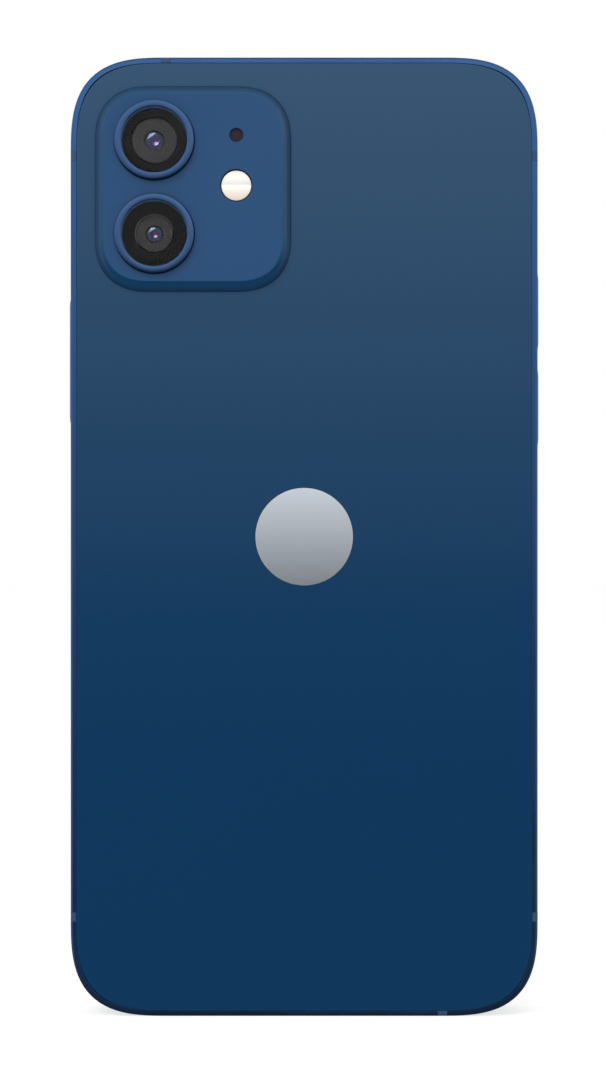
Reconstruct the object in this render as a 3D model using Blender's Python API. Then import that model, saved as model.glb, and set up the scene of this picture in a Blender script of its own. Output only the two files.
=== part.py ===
"""A flat-sided smartphone with two rear cameras, built as the separate pieces it comes apart into.

Metres, +Z up. The phone stands on its bottom edge: its back faces -Y, its screen faces +Y, and +X is
to the right as seen from the back. Depth is measured from the flat of the back glass to the screen.
The origin is the bottom centre of the whole phone's box, so the thickness of the camera bump is
shared out on both sides of y = 0.
"""

import math

import bmesh
import bpy
from mathutils import Vector

MM = 0.001

# Overall sizes
BODY_WIDTH = 71.5 * MM
BODY_HEIGHT = 146.7 * MM
BODY_DEPTH = 7.4 * MM
CORNER_REACH = 14.8 * MM  # where a corner's curve leaves the straight side
CORNER_POWER = 2.95  # a superellipse, whose curvature grows smoothly from the straight
CORNER_STEPS = 8

# Clearances
SEAT_GAP = 0.2 * MM  # between stacked layers, where adhesive or foam goes
EDGE_GAP = 0.1 * MM  # round a piece that drops into a pocket
SLIDE_GAP = 0.12 * MM  # round a piece that slides in a slot

CUT_REACH = 1.4  # how far a cutter goes each side of a wall's face, in wall thicknesses

# Frame
RIM = 0.9 * MM  # the metal seen round the glass
RAIL_WALL = 2.0 * MM
EDGE_RADIUS = 0.45 * MM
SHELF_SEAT = 1.2 * MM  # how far the mid plate's edge rests on the frame's shelf
SHELF_THICKNESS = 0.3 * MM
BAND_WIDTH = 1.6 * MM
SIDE_BAND_FROM_END = 15.2 * MM
END_BAND_FROM_SIDE = 14.6 * MM

# Layers, from the back
BACK_GLASS = 0.8 * MM
COIL_THICKNESS = 0.3 * MM
MID_PLATE = 0.4 * MM
SHIELD_PLATE = 0.3 * MM
DISPLAY_PANEL = 0.7 * MM
COVER_GLASS = 0.8 * MM
SEAL_THICKNESS = 0.3 * MM
GLASS_CHAMFER = 0.12 * MM
DISPLAY_INSET = 2.6 * MM

# Camera plateau and its lenses, placed from the phone's top left corner as seen from the back
PLATEAU_WIDTH = 30.0 * MM
PLATEAU_LENGTH = 31.45 * MM
PLATEAU_FROM_SIDE = 3.75 * MM
PLATEAU_FROM_TOP = 4.5 * MM
PLATEAU_HEIGHT = 0.9 * MM
PLATEAU_FOOT = 0.02 * MM  # how high the slope starts, so that it never lies in the glass's face
PLATEAU_SLOPE = 1.3 * MM
PLATEAU_CORNER = 9.4 * MM
LENS_MARGIN = 6.8 * MM  # between the wide camera's ring and the phone's side and top
LENS_SPACING = 2.05 * MM  # between the two rings
LENS_RING_RADIUS = 6.1 * MM
LENS_RING_RISE = 0.8 * MM
LENS_RING_LIP = 1.05 * MM
LENS_RING_LEDGE = 0.7 * MM  # under the window's edge
LENS_WINDOW = 0.6 * MM
FLASH_FROM_SIDE = 25.4 * MM
FLASH_FROM_TOP = 19.8 * MM
FLASH_RADIUS = 2.4 * MM
MICROPHONE_FROM_TOP = 12.1 * MM
MICROPHONE_RADIUS = 1.0 * MM
EMBLEM_RADIUS = 7.5 * MM
EMBLEM_THICKNESS = 0.3 * MM
EMBLEM_GLASS_LEFT = 0.25 * MM

# Camera modules
CAMERA_INSET = 0.35 * MM  # of a camera's housing inside its ring's outline
CAMERA_WALL = 0.7 * MM
CAMERA_SHIFT = 0.12 * MM  # travel of the stabiliser, each way
FOCUS_TRAVEL = 0.3 * MM
CARRIER_WALL = 0.5 * MM
WIDE_BARREL_ROOM = 0.75 * MM  # between a barrel and its ring's bore
WIDE_APERTURE_RADIUS = 1.6 * MM
ULTRAWIDE_BARREL_ROOM = 1.4 * MM
ULTRAWIDE_APERTURE_RADIUS = 1.1 * MM
SENSOR_THICKNESS = 0.5 * MM

# Buttons and the ring switch, placed from the top
BUTTON_RISE = 0.35 * MM
BUTTON_TRAVEL = 0.25 * MM
BUTTON_WIDTH = 2.9 * MM
BUTTON_FLANGE = 0.6 * MM
BUTTON_FLANGE_THICKNESS = 0.4 * MM
BUTTON_EDGE = 0.15 * MM
PLUNGER_LENGTH = 3.2 * MM
PLUNGER_WIDTH = 1.6 * MM
PLUNGER_REACH = 0.4 * MM
SIDE_BUTTON_LENGTH = 19.5 * MM
SIDE_BUTTON_FROM_TOP = 46.3 * MM
VOLUME_BUTTON_LENGTH = 12.0 * MM
VOLUME_UP_FROM_TOP = 38.6 * MM
VOLUME_DOWN_FROM_TOP = 53.4 * MM
SWITCH_THICKNESS = 0.6 * MM
RING_SLOT_LENGTH = 6.2 * MM
RING_SLOT_WIDTH = 2.6 * MM
RING_SLOT_CORNER = 0.6 * MM
RING_SWITCH_TRAVEL = 0.8 * MM
RING_SWITCH_FROM_TOP = 25.5 * MM
RING_SWITCH_RISE = 0.15 * MM
BUTTON_BAY = 2.8 * MM  # room inside each rail for the buttons' works

# SIM tray
SIM_FROM_TOP = 84.0 * MM
SIM_FACE_LENGTH = 15.2 * MM
SIM_FACE_WIDTH = 2.6 * MM
SIM_TRAY_REACH = 10.4 * MM
SIM_TRAY_WIDTH = 13.4 * MM
SIM_TRAY_THICKNESS = 1.4 * MM
SIM_CARD_LENGTH = 12.3 * MM
SIM_CARD_WIDTH = 8.8 * MM
SIM_CARD_THICKNESS = 0.67 * MM
EJECT_HOLE_RADIUS = 0.45 * MM
READER_WALL = 0.3 * MM

# Bottom edge
PORT_WIDTH = 7.0 * MM
PORT_HEIGHT = 1.9 * MM
PORT_REACH = 6.8 * MM
PORT_WALL = 0.3 * MM
CONTACT_THICKNESS = 0.25 * MM
CONTACT_COUNT = 8
CONTACT_GAP_SHARE = 0.25  # of the contacts' pitch
SCREW_FROM_CENTRE = 7.3 * MM
SCREW_HEAD_RADIUS = 1.1 * MM
SCREW_HEAD_HEIGHT = 0.8 * MM
SCREW_SHANK_RADIUS = 0.6 * MM
SCREW_LENGTH = 4.4 * MM
SCREW_SINK = 0.15 * MM
HOLE_RADIUS = 0.75 * MM
HOLE_PITCH = 2.3 * MM
FIRST_HOLE = 10.9 * MM
SPEAKER_HOLES = 6
MICROPHONE_HOLES = 4
MESH_THICKNESS = 0.25 * MM
BOTTOM_BAY = 20.0 * MM
MODULE_EDGE = 0.3 * MM  # the bevel round a sealed module
BAY_MARGIN = 2.0 * MM  # between the bottom modules and the rails and screws beside them
HAPTIC_LENGTH = 21.0 * MM
HAPTIC_HEIGHT = 11.0 * MM
HAPTIC_WALL = 0.4 * MM
HAPTIC_TRAVEL = 0.8 * MM

# Top edge, behind the notch
SENSOR_ROW_FROM_TOP = 2.8 * MM
SENSOR_ROW_HEIGHT = 4.1 * MM
NOTCH_WIDTH = 34.8 * MM
EARPIECE_LENGTH = 11.0 * MM
EARPIECE_WIDTH = 1.1 * MM
EARPIECE_FROM_TOP = 2.9 * MM
EARPIECE_SPEAKER_LENGTH = 12.0 * MM
FRONT_CAMERA_FROM_CENTRE = 10.0 * MM
INFRARED_CAMERA_FROM_CENTRE = 13.0 * MM
FRONT_CAMERA_RADIUS = 1.6 * MM

# Boards, battery and coil
BOARD_WIDTH = 20.0 * MM
BOARD_THICKNESS = 0.6 * MM
BOARD_FROM_TOP = 8.0 * MM
INTERPOSER_RIM = 1.6 * MM
INTERPOSER_THICKNESS = 0.6 * MM
PROCESSOR_SIDE = 12.0 * MM
CAMERA_BAY_MARGIN = 3.6 * MM  # between the lower camera and the battery
PACKING_GAP = 0.6 * MM  # between neighbours in the same layer
BATTERY_CORNER = 1.5 * MM
COIL_OUTER_RADIUS = 22.0 * MM
COIL_INNER_RADIUS = 10.0 * MM
MAGNET_OUTER_RADIUS = 27.5 * MM
MAGNET_INNER_RADIUS = 23.3 * MM

# Places that follow from the sizes
LEFT, RIGHT, TOP = -BODY_WIDTH / 2, BODY_WIDTH / 2, BODY_HEIGHT
MIDDLE = BODY_HEIGHT / 2
LENS_FROM_EDGE = LENS_MARGIN + LENS_RING_RADIUS
BUMP = PLATEAU_HEIGHT + LENS_RING_RISE
BACK_Y = (BUMP - BODY_DEPTH) / 2
MID_DEPTH = BODY_DEPTH / 2
GLASS_INSET = RIM + EDGE_GAP
COIL_DEPTH = BACK_GLASS + SEAT_GAP
MID_PLATE_DEPTH = COIL_DEPTH + COIL_THICKNESS + SEAT_GAP
WORKS_DEPTH = MID_PLATE_DEPTH + MID_PLATE + SEAT_GAP  # the deepest layer open to the works
COVER_DEPTH = BODY_DEPTH - COVER_GLASS
PANEL_DEPTH = COVER_DEPTH - SEAT_GAP - DISPLAY_PANEL
SHIELD_DEPTH = PANEL_DEPTH - SEAT_GAP - SHIELD_PLATE
WORKS_END = SHIELD_DEPTH - SEAT_GAP
SEAL_DEPTH = COVER_DEPTH - SEAT_GAP - SEAL_THICKNESS
LEDGE_DEPTH = SEAL_DEPTH - EDGE_GAP
CAVITY_RIGHT = RIGHT - RAIL_WALL
WORKS_RIGHT = CAVITY_RIGHT - BUTTON_BAY
LENS_X = LEFT + LENS_FROM_EDGE
WIDE_Z = TOP - LENS_FROM_EDGE
ULTRAWIDE_Z = WIDE_Z - 2 * LENS_RING_RADIUS - LENS_SPACING
FLASH_X = LEFT + FLASH_FROM_SIDE
RING_HOLE_RADIUS = LENS_RING_RADIUS + EDGE_GAP
WINDOW_RADIUS = LENS_RING_RADIUS - LENS_RING_LIP - EDGE_GAP
RING_BORE_RADIUS = WINDOW_RADIUS - LENS_RING_LEDGE
WIDE_BARREL_RADIUS = RING_BORE_RADIUS - WIDE_BARREL_ROOM
ULTRAWIDE_BARREL_RADIUS = RING_BORE_RADIUS - ULTRAWIDE_BARREL_ROOM
CAMERA_SIDE = 2 * (LENS_RING_RADIUS - CAMERA_INSET)
CAMERA_BAY_Z = ULTRAWIDE_Z - CAMERA_SIDE / 2 - CAMERA_BAY_MARGIN
BUTTON_ROOM = EDGE_GAP + BUTTON_FLANGE_THICKNESS + BUTTON_TRAVEL + EDGE_GAP
MID_PLATE_INSET = RAIL_WALL + BUTTON_ROOM
SHELF_INSET = MID_PLATE_INSET + SHELF_SEAT
BOARD_BOTTOM = TOP - SIM_FROM_TOP + SIM_FACE_LENGTH / 2 + BAY_MARGIN
BOARD_TOP = TOP - BOARD_FROM_TOP

# Finishes: linear colour, roughness, metallic
FINISHES = {
    "blue_aluminium": ((0.045, 0.105, 0.26), 0.38, 1.0),
    "blue_glass": ((0.006, 0.038, 0.105), 0.08, 0.0),
    "band_plastic": ((0.03, 0.07, 0.14), 0.5, 0.0),
    "mirror_metal": ((0.62, 0.64, 0.68), 0.12, 1.0),
    "black_glass": ((0.004, 0.004, 0.005), 0.03, 0.0),
    "display_black": ((0.006, 0.006, 0.009), 0.2, 0.0),
    "steel": ((0.5, 0.5, 0.52), 0.35, 1.0),
    "aluminium": ((0.42, 0.43, 0.45), 0.4, 1.0),
    "black_plastic": ((0.012, 0.012, 0.013), 0.45, 0.0),
    "grey_plastic": ((0.045, 0.045, 0.048), 0.5, 0.0),
    "flash_cream": ((0.85, 0.8, 0.68), 0.3, 0.0),
    "copper": ((0.7, 0.3, 0.14), 0.35, 1.0),
    "gold": ((0.85, 0.6, 0.22), 0.3, 1.0),
    "board_green": ((0.01, 0.035, 0.03), 0.5, 0.0),
    "battery_black": ((0.015, 0.015, 0.017), 0.55, 0.0),
    "tungsten": ((0.3, 0.3, 0.31), 0.45, 1.0),
    "card_white": ((0.8, 0.8, 0.8), 0.5, 0.0),
    "seal_rubber": ((0.01, 0.01, 0.01), 0.8, 0.0),
}


def y_at(depth):
    """The y of a depth below the flat of the back glass."""
    return BACK_Y + depth


def material(finish):
    """The named finish as a material, made the first time it is asked for."""
    if finish in bpy.data.materials:
        return bpy.data.materials[finish]
    colour, roughness, metallic = FINISHES[finish]
    made = bpy.data.materials.new(finish)
    made.use_nodes = True
    shader = made.node_tree.nodes["Principled BSDF"]
    shader.inputs["Base Color"].default_value = (*colour, 1.0)
    shader.inputs["Roughness"].default_value = roughness
    shader.inputs["Metallic"].default_value = metallic
    return made


def add(name, shape, location, finish, turn=(0.0, 0.0, 0.0)):
    """A named piece from a bmesh, standing at its location under the phone's empty."""
    bmesh.ops.recalc_face_normals(shape, faces=shape.faces)
    mesh = bpy.data.meshes.new(name)
    shape.to_mesh(mesh)
    shape.free()
    mesh.shade_smooth()
    mesh.set_sharp_from_angle(angle=math.radians(35))
    mesh.materials.append(material(finish))
    piece = bpy.data.objects.new(name, mesh)
    bpy.context.scene.collection.objects.link(piece)
    piece.location = location
    piece.rotation_euler = turn
    piece.parent = bpy.data.objects["smartphone"]
    return piece


def helper(name, shape, location, turn=(0.0, 0.0, 0.0)):
    """A shape that only cuts or joins another one, and isn't a piece of the phone."""
    made = add(name, shape, location, "steel", turn)
    made.hide_render = True
    made.display_type = "WIRE"
    return made


def combine(piece, other, operation="DIFFERENCE"):
    """Cuts the helper from the piece, or joins it on."""
    modifier = piece.modifiers.new(other.name, "BOOLEAN")
    modifier.operation = operation
    modifier.solver = "EXACT"
    modifier.object = other


def rounded(width, height, reach, power=2.0, steps=6):
    """A rectangle's outline with superellipse corners that start reach from each end, centred on 0."""
    points = []
    for quarter, (side, end) in enumerate(((1, 1), (-1, 1), (-1, -1), (1, -1))):
        for step in range(steps + 1):
            angle = math.pi / 2 * (step if quarter % 2 == 0 else steps - step) / steps
            across = abs(math.cos(angle)) ** (2 / power) * reach
            along = abs(math.sin(angle)) ** (2 / power) * reach
            point = (side * (width / 2 - reach + across), end * (height / 2 - reach + along))
            if not points or math.dist(point, points[-1]) > 1e-7:
                points.append(point)
    if math.dist(points[0], points[-1]) < 1e-7:
        points.pop()
    return points


def body_outline(inset):
    """The phone's own outline, drawn in by inset all round."""
    width, height = BODY_WIDTH - 2 * inset, BODY_HEIGHT - 2 * inset
    return rounded(width, height, CORNER_REACH - inset, CORNER_POWER, CORNER_STEPS)


def loft(sections, closed=False):
    """A skin over a row of loops with equal numbers of points: a ring if closed, or capped at both ends."""
    shape = bmesh.new()
    rows = [[shape.verts.new(point) for point in section] for section in sections]
    following = rows[1:] + rows[:1] if closed else rows[1:]
    for row, after in zip(rows, following):
        for i in range(len(row)):
            shape.faces.new((row[i - 1], row[i], after[i], after[i - 1]))
    if not closed:
        shape.faces.new(rows[0])
        shape.faces.new(rows[-1])
    return shape


def body_loft(profile, closed=False):
    """A loft of body outlines through (inset, depth) places, about the body's centre."""
    mid = BODY_DEPTH / 2
    return loft([[(x, depth - mid, z) for x, z in body_outline(inset)] for inset, depth in profile], closed)


def slab(outline, thickness):
    """An outline in x and z made solid, half its thickness each side of y = 0."""
    shape = bmesh.new()
    face = shape.faces.new([shape.verts.new((x, -thickness / 2, z)) for x, z in outline])
    grown = bmesh.ops.extrude_face_region(shape, geom=[face])["geom"]
    verts = [item for item in grown if isinstance(item, bmesh.types.BMVert)]
    bmesh.ops.translate(shape, verts=verts, vec=(0, thickness, 0))
    return shape


def block(name, x_range, z_range, depth_range, finish, edge=0.0):
    """A cuboid between two x, two z and two depths, with its edges rounded off by edge."""
    lows = Vector((x_range[0], y_at(depth_range[0]), z_range[0]))
    highs = Vector((x_range[1], y_at(depth_range[1]), z_range[1]))
    shape = bmesh.new()
    bmesh.ops.create_cube(shape, size=1.0)
    bmesh.ops.scale(shape, vec=highs - lows, verts=shape.verts)
    if edge:
        bmesh.ops.bevel(shape, geom=shape.edges[:], offset=edge, segments=1, affect="EDGES")
    return add(name, shape, (lows + highs) / 2, finish)


def cutter_block(name, x_range, z_range, depth_range):
    """A cuboid that cuts."""
    made = block(name, x_range, z_range, depth_range, "steel")
    made.hide_render = True
    made.display_type = "WIRE"
    return made


def turned(profile, steps=32, closed=False):
    """(radius, along) places turned about y: a ring if closed, or a solid whose ends meet the axis."""
    shape = bmesh.new()
    verts = [shape.verts.new((radius, along, 0)) for radius, along in profile]
    pairs = list(zip(verts, verts[1:]))
    if closed:
        pairs.append((verts[-1], verts[0]))
    edges = [shape.edges.new(pair) for pair in pairs]
    spin = {"axis": (0, 1, 0), "cent": (0, 0, 0), "angle": 2 * math.pi, "steps": steps}
    bmesh.ops.spin(shape, geom=verts + edges, use_merge=True, **spin)
    bmesh.ops.remove_doubles(shape, verts=shape.verts, dist=1e-7)
    return shape


def disc(radius, low, high, steps=32):
    """A round solid of one radius between two places on its axis."""
    return turned([(0, low), (radius, low), (radius, high), (0, high)], steps)


def stadium_stack(sections, steps=5):
    """A loft along x of round-ended slots: each section is (x, length along z, width along y)."""
    loops = []
    for x, length, width in sections:
        loops.append([(x, y, z) for y, z in rounded(width, length, width / 2, steps=steps)])
    return loft(loops)


def make_frame():
    """The rail round the phone, with rims and ledges for both glasses and every opening in it."""
    back_edge, front_edge = [], []
    for angle in (0, 30, 60, 90):
        inward = EDGE_RADIUS * (1 - math.sin(math.radians(angle)))
        down = EDGE_RADIUS * (1 - math.cos(math.radians(angle)))
        back_edge.append((inward, down))
        front_edge.insert(0, (inward, BODY_DEPTH - down))
    shelf_depth = BACK_GLASS + SEAT_GAP
    inside = [
        (RIM, BODY_DEPTH),
        (RIM, LEDGE_DEPTH),
        (RAIL_WALL, LEDGE_DEPTH),
        (RAIL_WALL, shelf_depth + SHELF_THICKNESS),
        (SHELF_INSET, shelf_depth + SHELF_THICKNESS),
        (SHELF_INSET, shelf_depth),
        (RIM, shelf_depth),
        (RIM, 0),
    ]
    shape = body_loft(back_edge + front_edge + inside, closed=True)
    frame = add("frame", shape, (0, y_at(MID_DEPTH), MIDDLE), "blue_aluminium")
    for cutter in rail_slots() + bottom_holes() + band_grooves():
        combine(frame, cutter)


def rail_slots():
    """Cutters for the buttons, the ring switch and the SIM tray, through the two side rails."""
    button_round, sim_round = BUTTON_WIDTH / 2, SIM_FACE_WIDTH / 2
    volume = (VOLUME_BUTTON_LENGTH, BUTTON_WIDTH, button_round)
    lever = (RING_SLOT_LENGTH, RING_SLOT_WIDTH, RING_SLOT_CORNER)
    slots = (
        ("side_button_slot", LEFT, SIDE_BUTTON_FROM_TOP, (SIDE_BUTTON_LENGTH, BUTTON_WIDTH, button_round)),
        ("volume_up_slot", RIGHT, VOLUME_UP_FROM_TOP, volume),
        ("volume_down_slot", RIGHT, VOLUME_DOWN_FROM_TOP, volume),
        ("ring_switch_slot", RIGHT, RING_SWITCH_FROM_TOP, lever),
        ("sim_slot", RIGHT, SIM_FROM_TOP, (SIM_FACE_LENGTH, SIM_FACE_WIDTH, sim_round)),
    )
    cutters = []
    through = RAIL_WALL * CUT_REACH
    for name, side, from_top, (length, width, corner) in slots:
        size = (width + 2 * SLIDE_GAP, length + 2 * SLIDE_GAP, corner + SLIDE_GAP)
        outline = rounded(*size, steps=5)
        ends = [[(reach, y, z) for y, z in outline] for reach in (-through, through)]
        cutters.append(helper(name, loft(ends), (side, y_at(MID_DEPTH), TOP - from_top)))
    return cutters


def speaker_places():
    """The x of each hole in front of the loudspeaker."""
    return [-FIRST_HOLE - i * HOLE_PITCH for i in range(SPEAKER_HOLES)]


def microphone_places():
    """The x of each hole in front of the bottom microphone."""
    return [FIRST_HOLE + i * HOLE_PITCH for i in range(MICROPHONE_HOLES)]


def bottom_holes():
    """Cutters for the port, the two screws and the rows of round holes, up through the bottom rail."""
    cutters = []
    upright = (math.pi / 2, 0, 0)
    through = RAIL_WALL * CUT_REACH
    for i, x in enumerate(speaker_places() + microphone_places()):
        shape = disc(HOLE_RADIUS, -through, through, steps=16)
        cutters.append(helper(f"sound_hole_{i}", shape, (x, y_at(MID_DEPTH), 0), upright))
    head = SCREW_HEAD_RADIUS + EDGE_GAP
    shank = SCREW_SHANK_RADIUS + EDGE_GAP
    seat = SCREW_SINK + SCREW_HEAD_HEIGHT + EDGE_GAP
    profile = [(0, -RAIL_WALL), (head, -RAIL_WALL), (head, seat), (shank, seat), (shank, 2 * RAIL_WALL)]
    profile.append((0, 2 * RAIL_WALL))
    for side in (-1, 1):
        place = (side * SCREW_FROM_CENTRE, y_at(MID_DEPTH), 0)
        cutters.append(helper(f"screw_hole_{side}", turned(profile, 20), place, upright))
    outline = rounded(PORT_WIDTH, PORT_HEIGHT, PORT_HEIGHT / 2)
    shape = slab(outline, RAIL_WALL * 4)
    cutters.append(helper("port_slot", shape, (0, y_at(MID_DEPTH), 0), upright))
    return cutters


def band_places():
    """Each antenna band's name, the middle of its outer face and the turn that points it outwards."""
    end_x = RIGHT - END_BAND_FROM_SIDE
    low, high = SIDE_BAND_FROM_END, TOP - SIDE_BAND_FROM_END
    return (
        ("left_upper", (LEFT, high), math.pi),
        ("left_lower", (LEFT, low), math.pi),
        ("right_upper", (RIGHT, high), 0.0),
        ("right_lower", (RIGHT, low), 0.0),
        ("top", (-end_x, TOP), -math.pi / 2),
        ("bottom", (end_x, 0.0), math.pi / 2),
    )


def band_grooves():
    """Cutters that part the metal across the rail where each plastic band sits."""
    cutters = []
    reach = RIM + EDGE_GAP / 2
    for name, (x, z), turn in band_places():
        shape = bmesh.new()
        bmesh.ops.create_cube(shape, size=1.0)
        bmesh.ops.scale(shape, vec=(2 * reach, 2 * BODY_DEPTH, BAND_WIDTH), verts=shape.verts)
        cutters.append(helper(f"band_groove_{name}", shape, (x, y_at(MID_DEPTH), z), (0, turn, 0)))
    return cutters


def make_bands():
    """The plastic bands that part the rail's metal, flush with its outside."""
    inner = RIM - EDGE_GAP / 2
    half = BODY_DEPTH / 2
    profile = [(-inner, half), (-inner, -half), (-EDGE_RADIUS, -half)]
    for angle in (30, 60):
        inward = EDGE_RADIUS * (1 - math.sin(math.radians(angle)))
        down = EDGE_RADIUS * (1 - math.cos(math.radians(angle)))
        profile.append((-inward, -half + down))
    profile += [(0, -half + EDGE_RADIUS), (0, half - EDGE_RADIUS)]
    profile += [(x, -y) for x, y in reversed(profile[3:5])]
    profile.append((-EDGE_RADIUS, half))
    ends = BAND_WIDTH / 2 - EDGE_GAP
    for name, (x, z), turn in band_places():
        shape = loft([[(px, py, end) for px, py in profile] for end in (-ends, ends)])
        place = (x, y_at(MID_DEPTH), z)
        add(f"antenna_band_{name}", shape, place, "band_plastic", (0, turn, 0))


def plateau_rise():
    """(inset, height) along the plateau's side: hollow at its foot, flat at its middle, round at its top."""
    foot = PLATEAU_FOOT
    rise = [(0.0, foot)]
    steps = 6
    for step in range(1, steps + 1):
        share = step / steps
        rise.append((PLATEAU_SLOPE * share, foot + (PLATEAU_HEIGHT - foot) * share**2 * (3 - 2 * share)))
    return rise


def make_back_glass():
    """The back glass with the camera plateau raised on it in one piece, and the emblem let in flush."""
    profile = [(GLASS_INSET + GLASS_CHAMFER, 0), (GLASS_INSET, GLASS_CHAMFER), (GLASS_INSET, BACK_GLASS)]
    glass = add("back_glass", body_loft(profile), (0, y_at(MID_DEPTH), MIDDLE), "blue_glass")
    sections = []
    for inset, height in [(0.0, -BACK_GLASS / 2)] + plateau_rise():
        width, length = PLATEAU_WIDTH - 2 * inset, PLATEAU_LENGTH - 2 * inset
        outline = rounded(width, length, PLATEAU_CORNER - inset, CORNER_POWER, CORNER_STEPS)
        sections.append([(x, -height, z) for x, z in outline])
    place = (
        LEFT + PLATEAU_FROM_SIDE + PLATEAU_WIDTH / 2,
        y_at(0),
        TOP - PLATEAU_FROM_TOP - PLATEAU_LENGTH / 2,
    )
    combine(glass, helper("plateau", loft(sections), place), "UNION")
    reach = (-2 * BUMP, 2 * BUMP)
    for name, z in (("wide", WIDE_Z), ("ultrawide", ULTRAWIDE_Z)):
        cutter = helper(f"{name}_ring_hole", disc(RING_HOLE_RADIUS, *reach, steps=40), (LENS_X, y_at(0), z))
        combine(glass, cutter)
    flash_place = (FLASH_X, y_at(0), TOP - FLASH_FROM_TOP)
    combine(glass, helper("flash_hole", disc(FLASH_RADIUS + EDGE_GAP, *reach), flash_place))
    sound_place = (FLASH_X, y_at(0), TOP - MICROPHONE_FROM_TOP)
    sound = disc(MICROPHONE_RADIUS + EDGE_GAP, *reach, steps=20)
    combine(glass, helper("rear_microphone_hole", sound, sound_place))
    pocket = disc(EMBLEM_RADIUS + EDGE_GAP, -BUMP, BACK_GLASS - EMBLEM_GLASS_LEFT, steps=48)
    combine(glass, helper("emblem_pocket", pocket, (0, y_at(0), MIDDLE)))
    emblem = disc(EMBLEM_RADIUS, 0, EMBLEM_THICKNESS, steps=48)
    add("back_emblem", emblem, (0, y_at(0), MIDDLE), "mirror_metal")


def make_mid_plate():
    """The thin plate on the frame's shelf that the works are fixed to, cut away for the cameras."""
    profile = [(MID_PLATE_INSET, MID_PLATE_DEPTH), (MID_PLATE_INSET, MID_PLATE_DEPTH + MID_PLATE)]
    plate = add("mid_plate", body_loft(profile), (0, y_at(MID_DEPTH), MIDDLE), "aluminium")
    x_range = (LEFT + SHELF_INSET, FLASH_X + FLASH_RADIUS + BAY_MARGIN)
    z_range = (CAMERA_BAY_Z, TOP - SHELF_INSET)
    depths = (MID_PLATE_DEPTH - MID_PLATE, MID_PLATE_DEPTH + 2 * MID_PLATE)
    combine(plate, cutter_block("camera_window", x_range, z_range, depths))


def notch_outline(inset):
    """The display's outline with the notch taken out of the middle of its top edge."""
    points = body_outline(inset)
    top = BODY_HEIGHT / 2 - inset
    floor = MIDDLE - SENSOR_ROW_FROM_TOP - SENSOR_ROW_HEIGHT - SEAT_GAP
    half = NOTCH_WIDTH / 2
    notch = [(half, top), (half, floor), (-half, floor), (-half, top)]
    last_right = max(i for i, (x, z) in enumerate(points) if x > half and z > 0)
    return points[: last_right + 1] + notch + points[last_right + 1 :]


def make_display():
    """The screen's layers: shield, panel and cover glass, with the seal under the glass's edge."""
    for name, depth, thickness, finish, extra in (
        ("display_shield", SHIELD_DEPTH, SHIELD_PLATE, "steel", 2 * SEAT_GAP),
        ("display_panel", PANEL_DEPTH, DISPLAY_PANEL, "display_black", 0.0),
    ):
        shape = slab(notch_outline(DISPLAY_INSET + extra), thickness)
        add(name, shape, (0, y_at(depth + thickness / 2), MIDDLE), finish)
    inner, outer = RAIL_WALL - EDGE_GAP, RIM + 2 * EDGE_GAP
    low, high = SEAL_DEPTH, SEAL_DEPTH + SEAL_THICKNESS
    ring = body_loft([(outer, low), (outer, high), (inner, high), (inner, low)], closed=True)
    add("display_seal", ring, (0, y_at(MID_DEPTH), MIDDLE), "seal_rubber")
    edge = GLASS_INSET + GLASS_CHAMFER
    profile = [(GLASS_INSET, COVER_DEPTH), (GLASS_INSET, BODY_DEPTH - GLASS_CHAMFER), (edge, BODY_DEPTH)]
    cover = add("cover_glass", body_loft(profile), (0, y_at(MID_DEPTH), MIDDLE), "black_glass")
    place = (0, y_at(BODY_DEPTH - COVER_GLASS / 2), TOP - EARPIECE_FROM_TOP)
    slot = rounded(EARPIECE_LENGTH, EARPIECE_WIDTH, EARPIECE_WIDTH / 2)
    combine(cover, helper("earpiece_slot", slab(slot, 2 * COVER_GLASS), place))
    shrink = 2 * EDGE_GAP
    mesh = rounded(EARPIECE_LENGTH - shrink, EARPIECE_WIDTH - shrink, EARPIECE_WIDTH / 2 - EDGE_GAP)
    add("earpiece_mesh", slab(mesh, COVER_GLASS / 2), place, "black_plastic")


def make_lens_cover(name, z):
    """A lens's metal ring, which stands proud of the plateau, and the glass window inside it."""
    tip = -BUMP
    soft = EDGE_RADIUS
    lip = LENS_RING_RADIUS - LENS_RING_LIP
    ledge = tip + LENS_WINDOW + 2 * EDGE_GAP
    profile = [(LENS_RING_RADIUS, BACK_GLASS), (LENS_RING_RADIUS, tip + soft)]
    for angle in (30, 60):
        across = soft * (1 - math.cos(math.radians(angle)))
        down = soft * (1 - math.sin(math.radians(angle)))
        profile.append((LENS_RING_RADIUS - across, tip + down))
    profile += [(LENS_RING_RADIUS - soft, tip), (lip + EDGE_GAP, tip), (lip, tip + EDGE_GAP)]
    profile += [(lip, ledge), (RING_BORE_RADIUS, ledge), (RING_BORE_RADIUS, BACK_GLASS)]
    add(f"{name}_lens_ring", turned(profile, 40, closed=True), (LENS_X, y_at(0), z), "blue_aluminium")
    top = tip + EDGE_GAP
    window = disc(WINDOW_RADIUS, top, top + LENS_WINDOW, steps=40)
    add(f"{name}_lens_window", window, (LENS_X, y_at(0), z), "black_glass")


def barrel_depths():
    """Where a lens barrel starts, clear of the window when focused near, and where it ends."""
    start = -BUMP + EDGE_GAP + LENS_WINDOW + FOCUS_TRAVEL + SEAT_GAP
    return start, WORKS_END - SENSOR_THICKNESS - 2 * SEAT_GAP


def make_barrel(name, z, radius, aperture):
    """A lens barrel with a cone down to its front element."""
    start, end = barrel_depths()
    mouth = (radius + aperture) / 2
    cone = (radius - aperture) / 2
    profile = [(0, start + cone), (aperture, start + cone), (mouth, start), (radius, start)]
    profile += [(radius, end), (0, end)]
    return add(name, turned(profile, 32), (LENS_X, y_at(0), z), "grey_plastic")


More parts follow.
